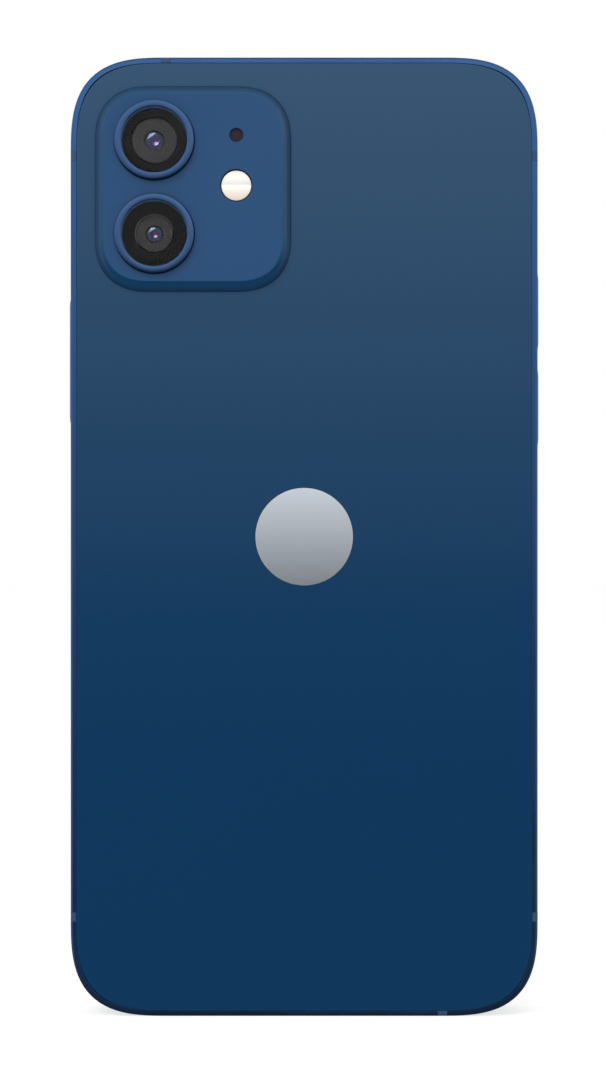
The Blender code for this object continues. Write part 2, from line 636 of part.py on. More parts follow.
def tube_piece(name, z, outer, inner_cutter, depths, finish):
    """A square sleeve round a lens's axis, opened by the cutter's shape."""
    half = outer / 2
    piece = block(name, (LENS_X - half, LENS_X + half), (z - half, z + half), depths, finish)
    combine(piece, helper(f"{name}_bore", inner_cutter, (LENS_X, y_at(MID_DEPTH), z)))
    return piece


def square_bore(side):
    """A square cutter along y."""
    half = side / 2
    return slab([(half, half), (-half, half), (-half, -half), (half, -half)], 2 * BODY_DEPTH)


def make_cameras():
    """Both rear cameras: a fixed housing and sensor each, and the wide one's moving stages."""
    start, end = COIL_DEPTH, WORKS_END - SENSOR_THICKNESS - SEAT_GAP
    bore = CAMERA_SIDE - 2 * CAMERA_WALL
    tube_piece("wide_camera_housing", WIDE_Z, CAMERA_SIDE, square_bore(bore), (start, end), "steel")
    stage_gap = 2 * (CAMERA_SHIFT + EDGE_GAP)
    outer = bore - stage_gap
    inner = outer - 2 * CARRIER_WALL
    stage = (start + SEAT_GAP, end - SEAT_GAP)
    tube_piece("wide_stabiliser_frame", WIDE_Z, outer, square_bore(inner), stage, "aluminium")
    round_bore = disc(WIDE_BARREL_RADIUS + EDGE_GAP, -BODY_DEPTH, BODY_DEPTH)
    tube_piece("wide_focus_frame", WIDE_Z, inner - stage_gap, round_bore, stage, "black_plastic")
    make_barrel("wide_lens_barrel", WIDE_Z, WIDE_BARREL_RADIUS, WIDE_APERTURE_RADIUS)
    fixed_bore = disc(ULTRAWIDE_BARREL_RADIUS + EDGE_GAP, -BODY_DEPTH, BODY_DEPTH)
    housing = "ultrawide_camera_housing"
    tube_piece(housing, ULTRAWIDE_Z, CAMERA_SIDE, fixed_bore, (start, end), "steel")
    make_barrel("ultrawide_lens_barrel", ULTRAWIDE_Z, ULTRAWIDE_BARREL_RADIUS, ULTRAWIDE_APERTURE_RADIUS)
    half = CAMERA_SIDE / 2
    depths = (WORKS_END - SENSOR_THICKNESS, WORKS_END)
    for name, z in (("wide", WIDE_Z), ("ultrawide", ULTRAWIDE_Z)):
        make_lens_cover(name, z)
        x_range = (LENS_X - half, LENS_X + half)
        block(f"{name}_camera_sensor", x_range, (z - half, z + half), depths, "board_green")


def make_flash_and_microphone():
    """The flash's diffuser and its LED, and the microphone's cap beside the lenses."""
    top = -PLATEAU_HEIGHT
    lens = disc(FLASH_RADIUS, top, BACK_GLASS)
    z = TOP - FLASH_FROM_TOP
    add("flash_lens", lens, (FLASH_X, y_at(0), z), "flash_cream")
    half = FLASH_RADIUS / 2
    depths = (COIL_DEPTH, COIL_DEPTH + COIL_THICKNESS + SEAT_GAP)
    block("flash_led", (FLASH_X - half, FLASH_X + half), (z - half, z + half), depths, "gold")
    cap = disc(MICROPHONE_RADIUS, top + SEAT_GAP, BACK_GLASS, steps=20)
    add("rear_microphone", cap, (FLASH_X, y_at(0), TOP - MICROPHONE_FROM_TOP), "black_plastic")


def make_button(name, side, from_top, length):
    """A button with a flange that keeps it in its slot and a plunger, and the switch it presses."""
    inward = 1 if side < 0 else -1
    wall = RAIL_WALL + EDGE_GAP
    flange_end = wall + BUTTON_FLANGE_THICKNESS
    plunger_end = flange_end + PLUNGER_REACH
    wide, long = BUTTON_WIDTH + BUTTON_FLANGE, length + BUTTON_FLANGE
    small_length, small_width = length - 2 * BUTTON_EDGE, BUTTON_WIDTH - 2 * BUTTON_EDGE
    sections = [
        (-BUTTON_RISE, small_length, small_width),
        (-BUTTON_RISE + BUTTON_EDGE, length, BUTTON_WIDTH),
        (wall, length, BUTTON_WIDTH),
        (wall, long, wide),
        (flange_end, long, wide),
        (flange_end, PLUNGER_LENGTH, PLUNGER_WIDTH),
        (plunger_end, PLUNGER_LENGTH, PLUNGER_WIDTH),
    ]
    place = (side, y_at(MID_DEPTH), TOP - from_top)
    shape = stadium_stack([(inward * x, long_, wide_) for x, long_, wide_ in sections])
    add(f"{name}_button", shape, place, "blue_aluminium")
    near = plunger_end + BUTTON_TRAVEL + EDGE_GAP
    half, reach = PLUNGER_LENGTH / 2 + SEAT_GAP, PLUNGER_WIDTH / 2 + SEAT_GAP
    xs = sorted((side + inward * near, side + inward * (near + SWITCH_THICKNESS)))
    z_range = (place[2] - half, place[2] + half)
    block(f"{name}_switch", xs, z_range, (MID_DEPTH - reach, MID_DEPTH + reach), "steel")


def make_ring_switch():
    """The ring switch's lever, which slides front to back in its slot, and the fixed base behind it."""
    knob_length = RING_SLOT_LENGTH - 2 * SLIDE_GAP
    knob_width = RING_SLOT_WIDTH - RING_SWITCH_TRAVEL
    wall = RAIL_WALL + EDGE_GAP
    flange_end = wall + BUTTON_FLANGE_THICKNESS
    y = y_at(MID_DEPTH + RING_SWITCH_TRAVEL / 2)
    z = TOP - RING_SWITCH_FROM_TOP
    sections = []
    for x, length, width in (
        (-RING_SWITCH_RISE, knob_length - 2 * BUTTON_EDGE, knob_width - 2 * BUTTON_EDGE),
        (-RING_SWITCH_RISE + BUTTON_EDGE, knob_length, knob_width),
        (wall, knob_length, knob_width),
        (wall, knob_length + BUTTON_FLANGE, RING_SLOT_WIDTH),
        (flange_end, knob_length + BUTTON_FLANGE, RING_SLOT_WIDTH),
    ):
        sections.append([(-x, py, pz) for py, pz in rounded(width, length, RING_SLOT_CORNER, steps=5)])
    add("ring_switch_lever", loft(sections), (RIGHT, y, z), "blue_aluminium")
    near = RIGHT - flange_end - EDGE_GAP
    xs = (near - SWITCH_THICKNESS, near)
    half = RING_SLOT_LENGTH / 2
    block("ring_switch_base", xs, (z - half, z + half), (WORKS_DEPTH, WORKS_END), "black_plastic")


def make_sim():
    """The SIM tray with its card, and the reader that it slides into."""
    z = TOP - SIM_FROM_TOP
    face_end = RIGHT - RAIL_WALL
    tray_end = face_end - SIM_TRAY_REACH
    half = SIM_TRAY_THICKNESS / 2
    sections = [
        (0, SIM_FACE_LENGTH - 2 * BUTTON_EDGE, SIM_FACE_WIDTH - 2 * BUTTON_EDGE),
        (-BUTTON_EDGE, SIM_FACE_LENGTH, SIM_FACE_WIDTH),
        (-RAIL_WALL, SIM_FACE_LENGTH, SIM_FACE_WIDTH),
    ]
    tray = add("sim_tray", stadium_stack(sections), (RIGHT, y_at(MID_DEPTH), z), "blue_aluminium")
    z_range = (z - SIM_TRAY_WIDTH / 2, z + SIM_TRAY_WIDTH / 2)
    tongue_end = face_end + RAIL_WALL / 2
    tongue = (MID_DEPTH - half, MID_DEPTH + half)
    combine(tray, cutter_block("tray_tongue", (tray_end, tongue_end), z_range, tongue), "UNION")
    card_x = (tray_end + face_end) / 2
    card_half, pocket_half = SIM_CARD_WIDTH / 2, SIM_CARD_WIDTH / 2 + EDGE_GAP
    card_z = (z - SIM_CARD_LENGTH / 2, z + SIM_CARD_LENGTH / 2)
    pocket_z = (card_z[0] - EDGE_GAP, card_z[1] + EDGE_GAP)
    floor = MID_DEPTH + half - SIM_CARD_THICKNESS - EDGE_GAP
    pocket_x = (card_x - pocket_half, card_x + pocket_half)
    combine(tray, cutter_block("card_pocket", pocket_x, pocket_z, (floor, MID_DEPTH + 2 * half)))
    eject_place = (RIGHT, y_at(MID_DEPTH), z - SIM_FACE_LENGTH / 2 + SIM_FACE_WIDTH / 2)
    eject = disc(EJECT_HOLE_RADIUS, -RAIL_WALL / 2, RAIL_WALL / 2, steps=12)
    combine(tray, helper("eject_hole", eject, eject_place, (0, 0, math.pi / 2)))
    depths = (floor + EDGE_GAP, floor + EDGE_GAP + SIM_CARD_THICKNESS)
    block("sim_card", (card_x - card_half, card_x + card_half), card_z, depths, "card_white")
    room = SEAT_GAP + READER_WALL
    xs = (tray_end - room, CAVITY_RIGHT - SEAT_GAP)
    zs = (z_range[0] - room, z_range[1] + room)
    reader = block("sim_reader", xs, zs, (MID_DEPTH - half - room, MID_DEPTH + half + room), "steel")
    hollow_z = (z_range[0] - SEAT_GAP, z_range[1] + SEAT_GAP)
    hollow = (MID_DEPTH - half - SEAT_GAP, MID_DEPTH + half + SEAT_GAP)
    combine(reader, cutter_block("reader_hollow", (tray_end - SEAT_GAP, RIGHT), hollow_z, hollow))


def make_port():
    """The charging port's shell, closed at its inner end, and the row of contacts along one side of it."""
    low = RAIL_WALL + SEAT_GAP
    high = RAIL_WALL + PORT_REACH
    room = CONTACT_THICKNESS + EDGE_GAP
    half = PORT_WIDTH / 2 + PORT_WALL
    wall = MID_DEPTH - PORT_HEIGHT / 2
    back = wall - room - PORT_WALL
    front = MID_DEPTH + PORT_HEIGHT / 2 + PORT_WALL
    shell = block("charging_port", (-half, half), (low, high), (back, front), "steel")
    outline = rounded(PORT_WIDTH, PORT_HEIGHT, PORT_HEIGHT / 2)
    bore = slab(outline, 2 * (PORT_REACH - PORT_WALL))
    combine(shell, helper("port_bore", bore, (0, y_at(MID_DEPTH), RAIL_WALL), (math.pi / 2, 0, 0)))
    pitch = (PORT_WIDTH - PORT_HEIGHT) / CONTACT_COUNT
    row = pitch * CONTACT_COUNT / 2
    groove_x = (-row - EDGE_GAP, row + EDGE_GAP)
    groove_z = (0, high - PORT_WALL)
    combine(shell, cutter_block("contact_groove", groove_x, groove_z, (wall - room, MID_DEPTH)))
    bar_z = (high - PORT_WALL - SEAT_GAP - PORT_REACH / 2, high - PORT_WALL - SEAT_GAP)
    bar = block("charging_port_contacts", (-row, row), bar_z, (wall - CONTACT_THICKNESS, wall), "gold")
    for i in range(1, CONTACT_COUNT):
        x = -row + i * pitch
        gap = pitch * CONTACT_GAP_SHARE
        cut_z = (bar_z[0] - MM, bar_z[1] - pitch)
        cut_depth = (wall - 2 * CONTACT_THICKNESS, wall + MM)
        combine(bar, cutter_block(f"contact_gap_{i}", (x - gap / 2, x + gap / 2), cut_z, cut_depth))


def make_screws():
    """The two screws beside the port, each with a five-sided drive."""
    head_end = SCREW_SINK + SCREW_HEAD_HEIGHT
    profile = [(0, SCREW_SINK), (SCREW_HEAD_RADIUS, SCREW_SINK), (SCREW_HEAD_RADIUS, head_end)]
    profile += [(SCREW_SHANK_RADIUS, head_end), (SCREW_SHANK_RADIUS, SCREW_LENGTH), (0, SCREW_LENGTH)]
    upright = (math.pi / 2, 0, 0)
    for name, side in (("left", -1), ("right", 1)):
        place = (side * SCREW_FROM_CENTRE, y_at(MID_DEPTH), 0)
        screw = add(f"bottom_screw_{name}", turned(profile, 20), place, "blue_aluminium", upright)
        reach = SCREW_SINK + SCREW_HEAD_HEIGHT / 2
        drive = disc(SCREW_HEAD_RADIUS / 2, -reach, reach, steps=5)
        combine(screw, helper(f"screw_drive_{name}", drive, place, upright))


def rail_floor(x):
    """The height of the bottom rail's inner wall at x, which the corner's curve lifts."""
    reach = CORNER_REACH - RAIL_WALL
    into = max(abs(x) - (BODY_WIDTH / 2 - CORNER_REACH), 0) / reach
    return RAIL_WALL + reach * (1 - (1 - into**CORNER_POWER) ** (1 / CORNER_POWER))


def make_bottom_modules():
    """The loudspeaker and the haptic motor each side of the port, and the meshes behind the holes."""
    reach = HOLE_RADIUS + SEAT_GAP
    depths = (MID_DEPTH - reach, MID_DEPTH + reach)
    for name, places in (("loudspeaker", speaker_places()), ("bottom_microphone", microphone_places())):
        x_range = (min(places) - reach, max(places) + reach)
        floor = rail_floor(max(map(abs, x_range))) + EDGE_GAP
        block(f"{name}_mesh", x_range, (floor, floor + MESH_THICKNESS), depths, "black_plastic")
    inner = SCREW_FROM_CENTRE + SCREW_HEAD_RADIUS + EDGE_GAP
    speaker_x = (-CAVITY_RIGHT + BAY_MARGIN, -inner)
    speaker_floor = rail_floor(min(speaker_places()) - reach) + EDGE_GAP + MESH_THICKNESS + SEAT_GAP
    speaker_z = (speaker_floor, BOTTOM_BAY - BAY_MARGIN)
    works = (WORKS_DEPTH, WORKS_END)
    speaker = block("loudspeaker", speaker_x, speaker_z, works, "black_plastic", edge=MODULE_EDGE)
    inset = RAIL_WALL + 2 * SEAT_GAP
    corner = body_loft([(inset, -BODY_DEPTH), (inset, 2 * BODY_DEPTH)])
    combine(speaker, helper("loudspeaker_corner", corner, (0, y_at(MID_DEPTH), MIDDLE)), "INTERSECT")
    x_range = (inner, inner + HAPTIC_LENGTH)
    low = rail_floor(x_range[1]) + MESH_THICKNESS + PACKING_GAP
    z_range = (low, low + HAPTIC_HEIGHT)
    housing = block("haptic_housing", x_range, z_range, works, "steel")
    hollow_x = (x_range[0] + HAPTIC_WALL, x_range[1] - HAPTIC_WALL)
    hollow_z = (z_range[0] + HAPTIC_WALL, z_range[1] - HAPTIC_WALL)
    hollow = (WORKS_DEPTH + HAPTIC_WALL, WORKS_END + HAPTIC_WALL)
    combine(housing, cutter_block("haptic_hollow", hollow_x, hollow_z, hollow))
    swing = HAPTIC_TRAVEL + SEAT_GAP
    mass_x = (hollow_x[0] + swing, hollow_x[1] - swing)
    mass_z = (hollow_z[0] + SEAT_GAP, hollow_z[1] - SEAT_GAP)
    mass_depth = (hollow[0] + SEAT_GAP, WORKS_END - HAPTIC_WALL)
    block("haptic_mass", mass_x, mass_z, mass_depth, "tungsten", edge=MODULE_EDGE)


def make_front_sensors():
    """The earpiece speaker and the two small cameras behind the notch."""
    z_range = (TOP - SENSOR_ROW_FROM_TOP - SENSOR_ROW_HEIGHT, TOP - SENSOR_ROW_FROM_TOP)
    depths = (WORKS_DEPTH, COVER_DEPTH - 2 * SEAT_GAP)
    half = EARPIECE_SPEAKER_LENGTH / 2
    block("earpiece_speaker", (-half, half), z_range, depths, "black_plastic", edge=MODULE_EDGE)
    z = sum(z_range) / 2
    half = SENSOR_ROW_HEIGHT / 2
    for name, x in (
        ("front_camera", -FRONT_CAMERA_FROM_CENTRE),
        ("infrared_camera", INFRARED_CAMERA_FROM_CENTRE),
    ):
        body = (depths[0], depths[1] - 2 * SEAT_GAP)
        camera = block(name, (x - half, x + half), z_range, body, "black_plastic")
        nose = disc(FRONT_CAMERA_RADIUS, MID_DEPTH, depths[1])
        combine(camera, helper(f"{name}_nose", nose, (x, y_at(0), z)), "UNION")


def make_works():
    """The battery, the two logic boards with the processor between them, and the charging coil."""
    board_x = (WORKS_RIGHT - BOARD_WIDTH, WORKS_RIGHT)
    board_z = (BOARD_BOTTOM, BOARD_TOP)
    lower_end = WORKS_DEPTH + BOARD_THICKNESS
    block("lower_logic_board", board_x, board_z, (WORKS_DEPTH, lower_end), "board_green")
    chip = lower_end + SEAT_GAP
    chip_end = chip + INTERPOSER_THICKNESS
    interposer = block("board_interposer", board_x, board_z, (chip, chip_end), "gold")
    hole_x = (board_x[0] + INTERPOSER_RIM, board_x[1] - INTERPOSER_RIM)
    hole_z = (board_z[0] + INTERPOSER_RIM, board_z[1] - INTERPOSER_RIM)
    combine(interposer, cutter_block("interposer_hole", hole_x, hole_z, (lower_end, chip_end + SEAT_GAP)))
    x, z, half = sum(board_x) / 2, sum(board_z) / 2, PROCESSOR_SIDE / 2
    block("processor", (x - half, x + half), (z - half, z + half), (chip, chip_end), "black_plastic")
    upper = chip_end + SEAT_GAP
    block("upper_logic_board", board_x, board_z, (upper, upper + BOARD_THICKNESS), "board_green")
    battery_x = (-WORKS_RIGHT, board_x[0] - PACKING_GAP)
    battery_z = (BOTTOM_BAY, CAMERA_BAY_Z)
    size_x, size_z = battery_x[1] - battery_x[0], battery_z[1] - battery_z[0]
    pouch = slab(rounded(size_x, size_z, BATTERY_CORNER, steps=3), WORKS_END - WORKS_DEPTH)
    depth = y_at((WORKS_DEPTH + WORKS_END) / 2)
    battery = add("battery", pouch, (sum(battery_x) / 2, depth, sum(battery_z) / 2), "battery_black")
    foot_top = TOP - SIM_FROM_TOP - SIM_FACE_LENGTH / 2 - BAY_MARGIN
    foot_x, foot_z = 2 * WORKS_RIGHT, foot_top - BOTTOM_BAY
    foot = slab(rounded(foot_x, foot_z, BATTERY_CORNER, steps=3), WORKS_END - WORKS_DEPTH)
    combine(battery, helper("battery_foot", foot, (0, depth, BOTTOM_BAY + foot_z / 2)), "UNION")
    for name, outer, inner, finish in (
        ("charging_coil", COIL_OUTER_RADIUS, COIL_INNER_RADIUS, "copper"),
        ("magnet_ring", MAGNET_OUTER_RADIUS, MAGNET_INNER_RADIUS, "steel"),
    ):
        low, high = COIL_DEPTH, COIL_DEPTH + COIL_THICKNESS
        ring = turned([(inner, low), (outer, low), (outer, high), (inner, high)], 40, closed=True)
        add(name, ring, (0, y_at(0), MIDDLE), finish)


def main():
    """Clears the scene and builds the phone, piece by piece."""
    for old in list(bpy.data.objects):
        bpy.data.objects.remove(old)
    phone = bpy.data.objects.new("smartphone", None)
    bpy.context.scene.collection.objects.link(phone)
    make_frame()
    make_bands()
    make_back_glass()
    make_mid_plate()
    make_display()
    make_cameras()
    make_flash_and_microphone()
    make_button("side", LEFT, SIDE_BUTTON_FROM_TOP, SIDE_BUTTON_LENGTH)
    make_button("volume_up", RIGHT, VOLUME_UP_FROM_TOP, VOLUME_BUTTON_LENGTH)
    make_button("volume_down", RIGHT, VOLUME_DOWN_FROM_TOP, VOLUME_BUTTON_LENGTH)
    make_ring_switch()
    make_sim()
    make_port()
    make_screws()
    make_bottom_modules()
    make_front_sensors()
    make_works()


main()
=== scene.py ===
"""The looks of a flat-sided smartphone with two rear cameras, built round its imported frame.

Metres, +Z up. The phone stands on its bottom edge, its back faces -Y and its screen faces +Y. A depth is
measured from the flat of the back glass towards the screen, as the phone's maker would.
"""

import math

import bmesh
import bpy
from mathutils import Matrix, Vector


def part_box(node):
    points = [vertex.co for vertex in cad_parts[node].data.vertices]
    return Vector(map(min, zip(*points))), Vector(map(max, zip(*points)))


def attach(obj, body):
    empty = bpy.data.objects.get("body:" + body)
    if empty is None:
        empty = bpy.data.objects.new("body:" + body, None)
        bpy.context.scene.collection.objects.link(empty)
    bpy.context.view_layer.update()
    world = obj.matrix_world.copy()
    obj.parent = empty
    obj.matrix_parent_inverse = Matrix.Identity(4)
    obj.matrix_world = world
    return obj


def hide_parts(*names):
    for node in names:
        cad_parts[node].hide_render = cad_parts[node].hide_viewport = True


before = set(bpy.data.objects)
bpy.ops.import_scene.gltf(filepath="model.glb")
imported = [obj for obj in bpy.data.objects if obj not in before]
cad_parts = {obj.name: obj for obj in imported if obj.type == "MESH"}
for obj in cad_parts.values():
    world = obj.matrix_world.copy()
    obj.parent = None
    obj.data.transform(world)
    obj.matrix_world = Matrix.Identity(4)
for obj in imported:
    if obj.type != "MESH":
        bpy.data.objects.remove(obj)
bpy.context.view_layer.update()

MM = 0.001
TOUCH = 0.001 * MM  # left between faces that would otherwise meet
WELD = 2e-7  # points this near to each other become one
SQUARE_ON = 0.999  # a direction this near to an axis runs along it
UP, BACKWARD, ASIDE = (0, 0, 1), (0, 1, 0), (1, 0, 0)

# The phone's own sizes, read from its frame
FRAME_LOW, FRAME_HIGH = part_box("frame")
SIZE = FRAME_HIGH - FRAME_LOW
WIDTH, HEIGHT = SIZE.x, SIZE.z
BACK_Y, SCREEN_Y = FRAME_LOW.y, FRAME_HIGH.y
MID_Y = (BACK_Y + SCREEN_Y) / 2
LEFT, RIGHT = FRAME_LOW.x, FRAME_HIGH.x

# The rail
CORNER_REACH = 14.8 * MM
CORNER_PROFILE = 0.625  # 0.5 is a circle, and more is squarer
CORNER_SEGMENTS = 28
RIM = 0.9 * MM
RAIL_WALL = 2.0 * MM
EDGE_RADIUS = 0.45 * MM
EDGE_STEPS = 7
RIM_CHAMFER = 0.03 * MM
GLASS_SEAT = 0.9 * MM
SEAT_DRAFT = 0.01 * MM
HAIRLINE = 0.02 * MM
SLOT_GAP = 0.07 * MM
SLOT_CHAMFER = 0.1 * MM
SLOT_REACH = 3.0 * MM
BANDS = ("left_upper", "left_lower", "right_upper", "right_lower", "top", "bottom")

# What moves in the side rails
BUTTON_WIDTH = 2.9 * MM
BUTTONS = {
    "side_button": (LEFT, 19.5 * MM),
    "volume_up_button": (RIGHT, 12.0 * MM),
    "volume_down_button": (RIGHT, 12.0 * MM),
}
CROWN_EDGE = 0.22 * MM
FLANGE = 0.3 * MM
FLANGE_THICKNESS = 0.4 * MM
FLANGE_PLAY = 0.1 * MM
LEVER_SLOT = (2.6 * MM, 6.2 * MM)
LEVER_CORNER = 0.6 * MM
LEVER_HALF_WIDTH = 0.9 * MM
LEVER_GAP = 0.12 * MM
LEVER_EDGE = 0.15 * MM
TRAY_FACE = (2.6 * MM, 15.2 * MM)
TRAY_EDGE = 0.1 * MM
TONGUE_THICKNESS = 1.4 * MM
TONGUE_WIDTH = 13.4 * MM
CARD_GAP = 0.1 * MM
CARD_CUT = 1.6 * MM
CARD_CORNER = 0.8 * MM
EJECT_RADIUS = 0.45 * MM
EJECT_DEPTH = 1.6 * MM
PAD_SIZE = (3.2 * MM, 2.2 * MM)
PAD_PITCH = (3.4 * MM, 2.4 * MM)
PAD_PROUD = 0.02 * MM

# What opens in the bottom rail
HOLE_RADIUS = 0.75 * MM
HOLE_PITCH = 2.3 * MM
FIRST_HOLE = 10.9 * MM
SOUND_HOLES = {-1: 6, 1: 4}  # how many on each side of the port
PORT_SIZE = (7.0 * MM, 1.9 * MM)
DRILL_FLARE = 0.08 * MM
SCREW_X = 7.3 * MM
SCREW_RADIUS = 1.1 * MM
SCREW_CHAMFER = 0.15 * MM
SCREW_HEAD = 0.8 * MM
SHANK_RADIUS = 0.6 * MM
DRIVE_DEPTH = 0.5 * MM
DRIVE_CORE = 0.4 * MM
LOBES = 5
LOBE_RADIUS = 0.2 * MM
LOBE_REACH = 0.38 * MM

# The glasses
PANE_INSET = RIM + RIM_CHAMFER + HAIRLINE
PANE_THICKNESS = 0.8 * MM
PANE_EDGE = 0.04 * MM
COVER_EDGE = 0.25 * MM

# The camera plateau
PLATEAU_WIDTH = 30.0 * MM
PLATEAU_LENGTH = 31.45 * MM
PLATEAU_LEFT = LEFT + 3.75 * MM
PLATEAU_TOP = HEIGHT - 4.5 * MM
PLATEAU_CORNER = 8.6 * MM
PLATEAU_CORNER_PROFILE = 0.57
PLATEAU_RISE = BACK_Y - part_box("back_glass")[0].y
PLATEAU_SLOPE = 1.55 * MM
PLATEAU_LEAN = 0.25 * MM
PLATEAU_STEPS = 12
FROST_RISE = 0.985 * PLATEAU_RISE  # the flat top is above this
SHADED_SIDE_RISE = 0.8 * PLATEAU_RISE  # the ground side, its colour darkened as painted shade, is below this
HOLE_GAP = 0.04 * MM
HOLE_LIP = 0.05 * MM

# The emblem, which shines like a shallow bowl with its lowest point a little below the disc's middle
EMBLEM_POCKET = 0.4 * MM
EMBLEM_EDGE = 0.05 * MM
EMBLEM_CURVE = 0.4
EMBLEM_LEAN = 6.0 * MM

# The lenses
RING_LIP = 1.1 * MM
RING_BROW = 0.24 * MM
RING_WELL = 0.85 * MM
WINDOW_EDGE = 0.06 * MM
BARREL_ROOM = 0.14 * MM
BARREL_EDGE = 0.1 * MM
PUPIL_SHARES = {"wide": 0.42, "ultrawide": 0.43}
HOLLOW_SHARE = 0.5  # of an element's radius, which the hollowed middle takes
HOLLOW_FALL = math.radians(20)
RING_FALL = math.radians(32)
ELEMENT_STEPS = 12
RING_SEGMENTS = 96

# The flash and the microphone
FLASH_SURROUND = 0.12 * MM
FLASH_DOME = 14 * MM
FLASH_SHADING = 2.4 * MM  # how far its shading runs above and below its middle

# The screen
ACTIVE_INSET = 2.7 * MM
NOTCH_WIDTH = 34.8 * MM
NOTCH_DEPTH = 5.4 * MM
PRINT_THICKNESS = 0.04 * MM
DISPLAY_CORNER = 10.0 * MM
NOTCH_CORNER = 2.6 * MM
EYES = ("front_camera", "infrared_camera")
EYE_RADIUS = 1.25 * MM
WHOLE_DEPTH = 1.0  # in an area's y, so that it takes in all of a piece's depth

# The stage
FLOOR_GLOW = 0.72
BRIGHTEST = 1.5
CAMERA_DISTANCE = 0.3
CAMERA_PLACE = Vector((-0.18 * MM, BACK_Y - CAMERA_DISTANCE, HEIGHT / 2 - 0.28 * MM))
SENSOR_HEIGHT = 24.0
VIEW_HEIGHT = 164.65 * MM


# Choosing and shaping, as by hand


def only(piece):
    """Leaves one piece selected and active."""
    bpy.ops.object.select_all(action="DESELECT")
    piece.select_set(True)
    bpy.context.view_layer.objects.active = piece


def begin(piece, mode="FACE"):
    """Opens a piece for editing with nothing in it selected."""
    only(piece)
    bpy.ops.object.mode_set(mode="EDIT")
    bpy.ops.mesh.select_mode(type=mode)
    bpy.ops.mesh.select_all(action="DESELECT")


def finish_edit():
    """Closes the piece that is open for editing."""
    bpy.ops.object.mode_set(mode="OBJECT")


def pick_faces(piece, test):
    """Selects the faces whose middle and normal pass a test, and nothing else."""
    bpy.ops.mesh.select_mode(type="FACE")
    bpy.ops.mesh.select_all(action="DESELECT")
    shape = bmesh.from_edit_mesh(piece.data)
    for face in shape.faces:
        if test(face.calc_center_median(), face.normal):
            face.select_set(True)
    bmesh.update_edit_mesh(piece.data)


def pick_edges(piece, test):
    """Selects the edges whose two ends pass a test, and nothing else."""
    bpy.ops.mesh.select_mode(type="EDGE")
    bpy.ops.mesh.select_all(action="DESELECT")
    shape = bmesh.from_edit_mesh(piece.data)
    for edge in shape.edges:
        if test(edge.verts[0].co, edge.verts[1].co):
            edge.select_set(True)
    bmesh.update_edit_mesh(piece.data)


def runs_along(axis):
    """A test for edges parallel to an axis."""
    return lambda a, b: abs((b - a).normalized()[axis]) > SQUARE_ON


def lies_at(axis, place):
    """A test for edges in the plane at a place on an axis."""
    return lambda a, b: abs(a[axis] - place) < TOUCH and abs(b[axis] - place) < TOUCH


def faces_along(axis, sign):
    """A test for faces square on to an axis that look up it, or down it where sign is -1."""
    return lambda middle, normal: normal[axis] * sign > SQUARE_ON


def draw_out(step):
    """Extrudes what is selected by a step."""
    bpy.ops.mesh.extrude_region_move(TRANSFORM_OT_translate={"value": step})


def settle(piece):
    """Applies a piece's place, turn and scale to its mesh."""
    only(piece)
    bpy.ops.object.transform_apply(location=True, rotation=True, scale=True)
    return piece


def block(name, low, high):
    """A cuboid between two corners."""
    low, high = Vector(low), Vector(high)
    bpy.ops.object.select_all(action="DESELECT")
    bpy.ops.mesh.primitive_cube_add(size=1.0, location=(low + high) / 2, scale=high - low)
    piece = bpy.context.object
    piece.name = piece.data.name = name
    return settle(piece)


def bevel(piece, test, reach, segments, profile=0.5):
    """Rounds the edges that pass a test."""
    begin(piece, "EDGE")
    pick_edges(piece, test)
    bpy.ops.mesh.bevel(offset=reach, segments=segments, profile=profile, affect="EDGES")
    bpy.ops.mesh.select_all(action="SELECT")
    bpy.ops.mesh.remove_doubles(threshold=WELD / 2)
    finish_edit()


def slab(name, inset, y_range, segments=CORNER_SEGMENTS):
    """A slab with the phone's own outline drawn in by inset, between two y."""
    piece = block(name, (LEFT + inset, y_range[0], inset), (RIGHT - inset, y_range[1], HEIGHT - inset))
    bevel(piece, runs_along(1), CORNER_REACH - inset, segments, CORNER_PROFILE)
    return piece


def stadium(name, low, high, axis, segments=16, corner=None):
    """A block whose edges along an axis are rounded by corner, or by half of its narrower side."""
    piece = block(name, low, high)
    sides = sorted(high[i] - low[i] for i in range(3) if i != axis)
    bevel(piece, runs_along(axis), corner or sides[0] / 2 - TOUCH, segments)
    return piece


def turned(name, centre, profile, axis=BACKWARD, segments=RING_SEGMENTS):
    """A shape turned about an axis through centre: a chain of (radius, along) points, spun right round."""
    axis = Vector(axis)
    outward = Vector(UP) if axis.x else Vector(ASIDE)
    places = [Vector(centre) + outward * radius + axis * along for radius, along in profile]
    bpy.ops.object.select_all(action="DESELECT")
    bpy.ops.mesh.primitive_plane_add(size=MM, location=places[0])
    piece = bpy.context.object
    piece.name = piece.data.name = name
    settle(piece)
    begin(piece, "VERT")
    bpy.ops.mesh.select_all(action="SELECT")
    bpy.ops.mesh.merge(type="CENTER")
    for before, after in zip(places, places[1:]):
        draw_out(after - before)
    bpy.ops.mesh.select_all(action="SELECT")
    bpy.ops.mesh.spin(steps=segments, angle=2 * math.pi, center=centre, axis=axis)
    bpy.ops.mesh.select_all(action="SELECT")
    bpy.ops.mesh.remove_doubles(threshold=WELD)
    bpy.ops.mesh.normals_make_consistent(inside=False)
    finish_edit()
    return piece


def rod(name, centre, radius, start, end, axis=BACKWARD, segments=RING_SEGMENTS):
    """A plain round bar along an axis, between two places measured from its centre."""
    return turned(name, centre, [(0, start), (radius, start), (radius, end), (0, end)], axis, segments)


def arc(centre, radius, start, end, steps):
    """(radius, along) points on part of a circle, from one angle to another in degrees."""
    points = []
    for step in range(steps + 1):
        angle = math.radians(start + (end - start) * step / steps)
        points.append((centre[0] + radius * math.cos(angle), centre[1] + radius * math.sin(angle)))
    return points


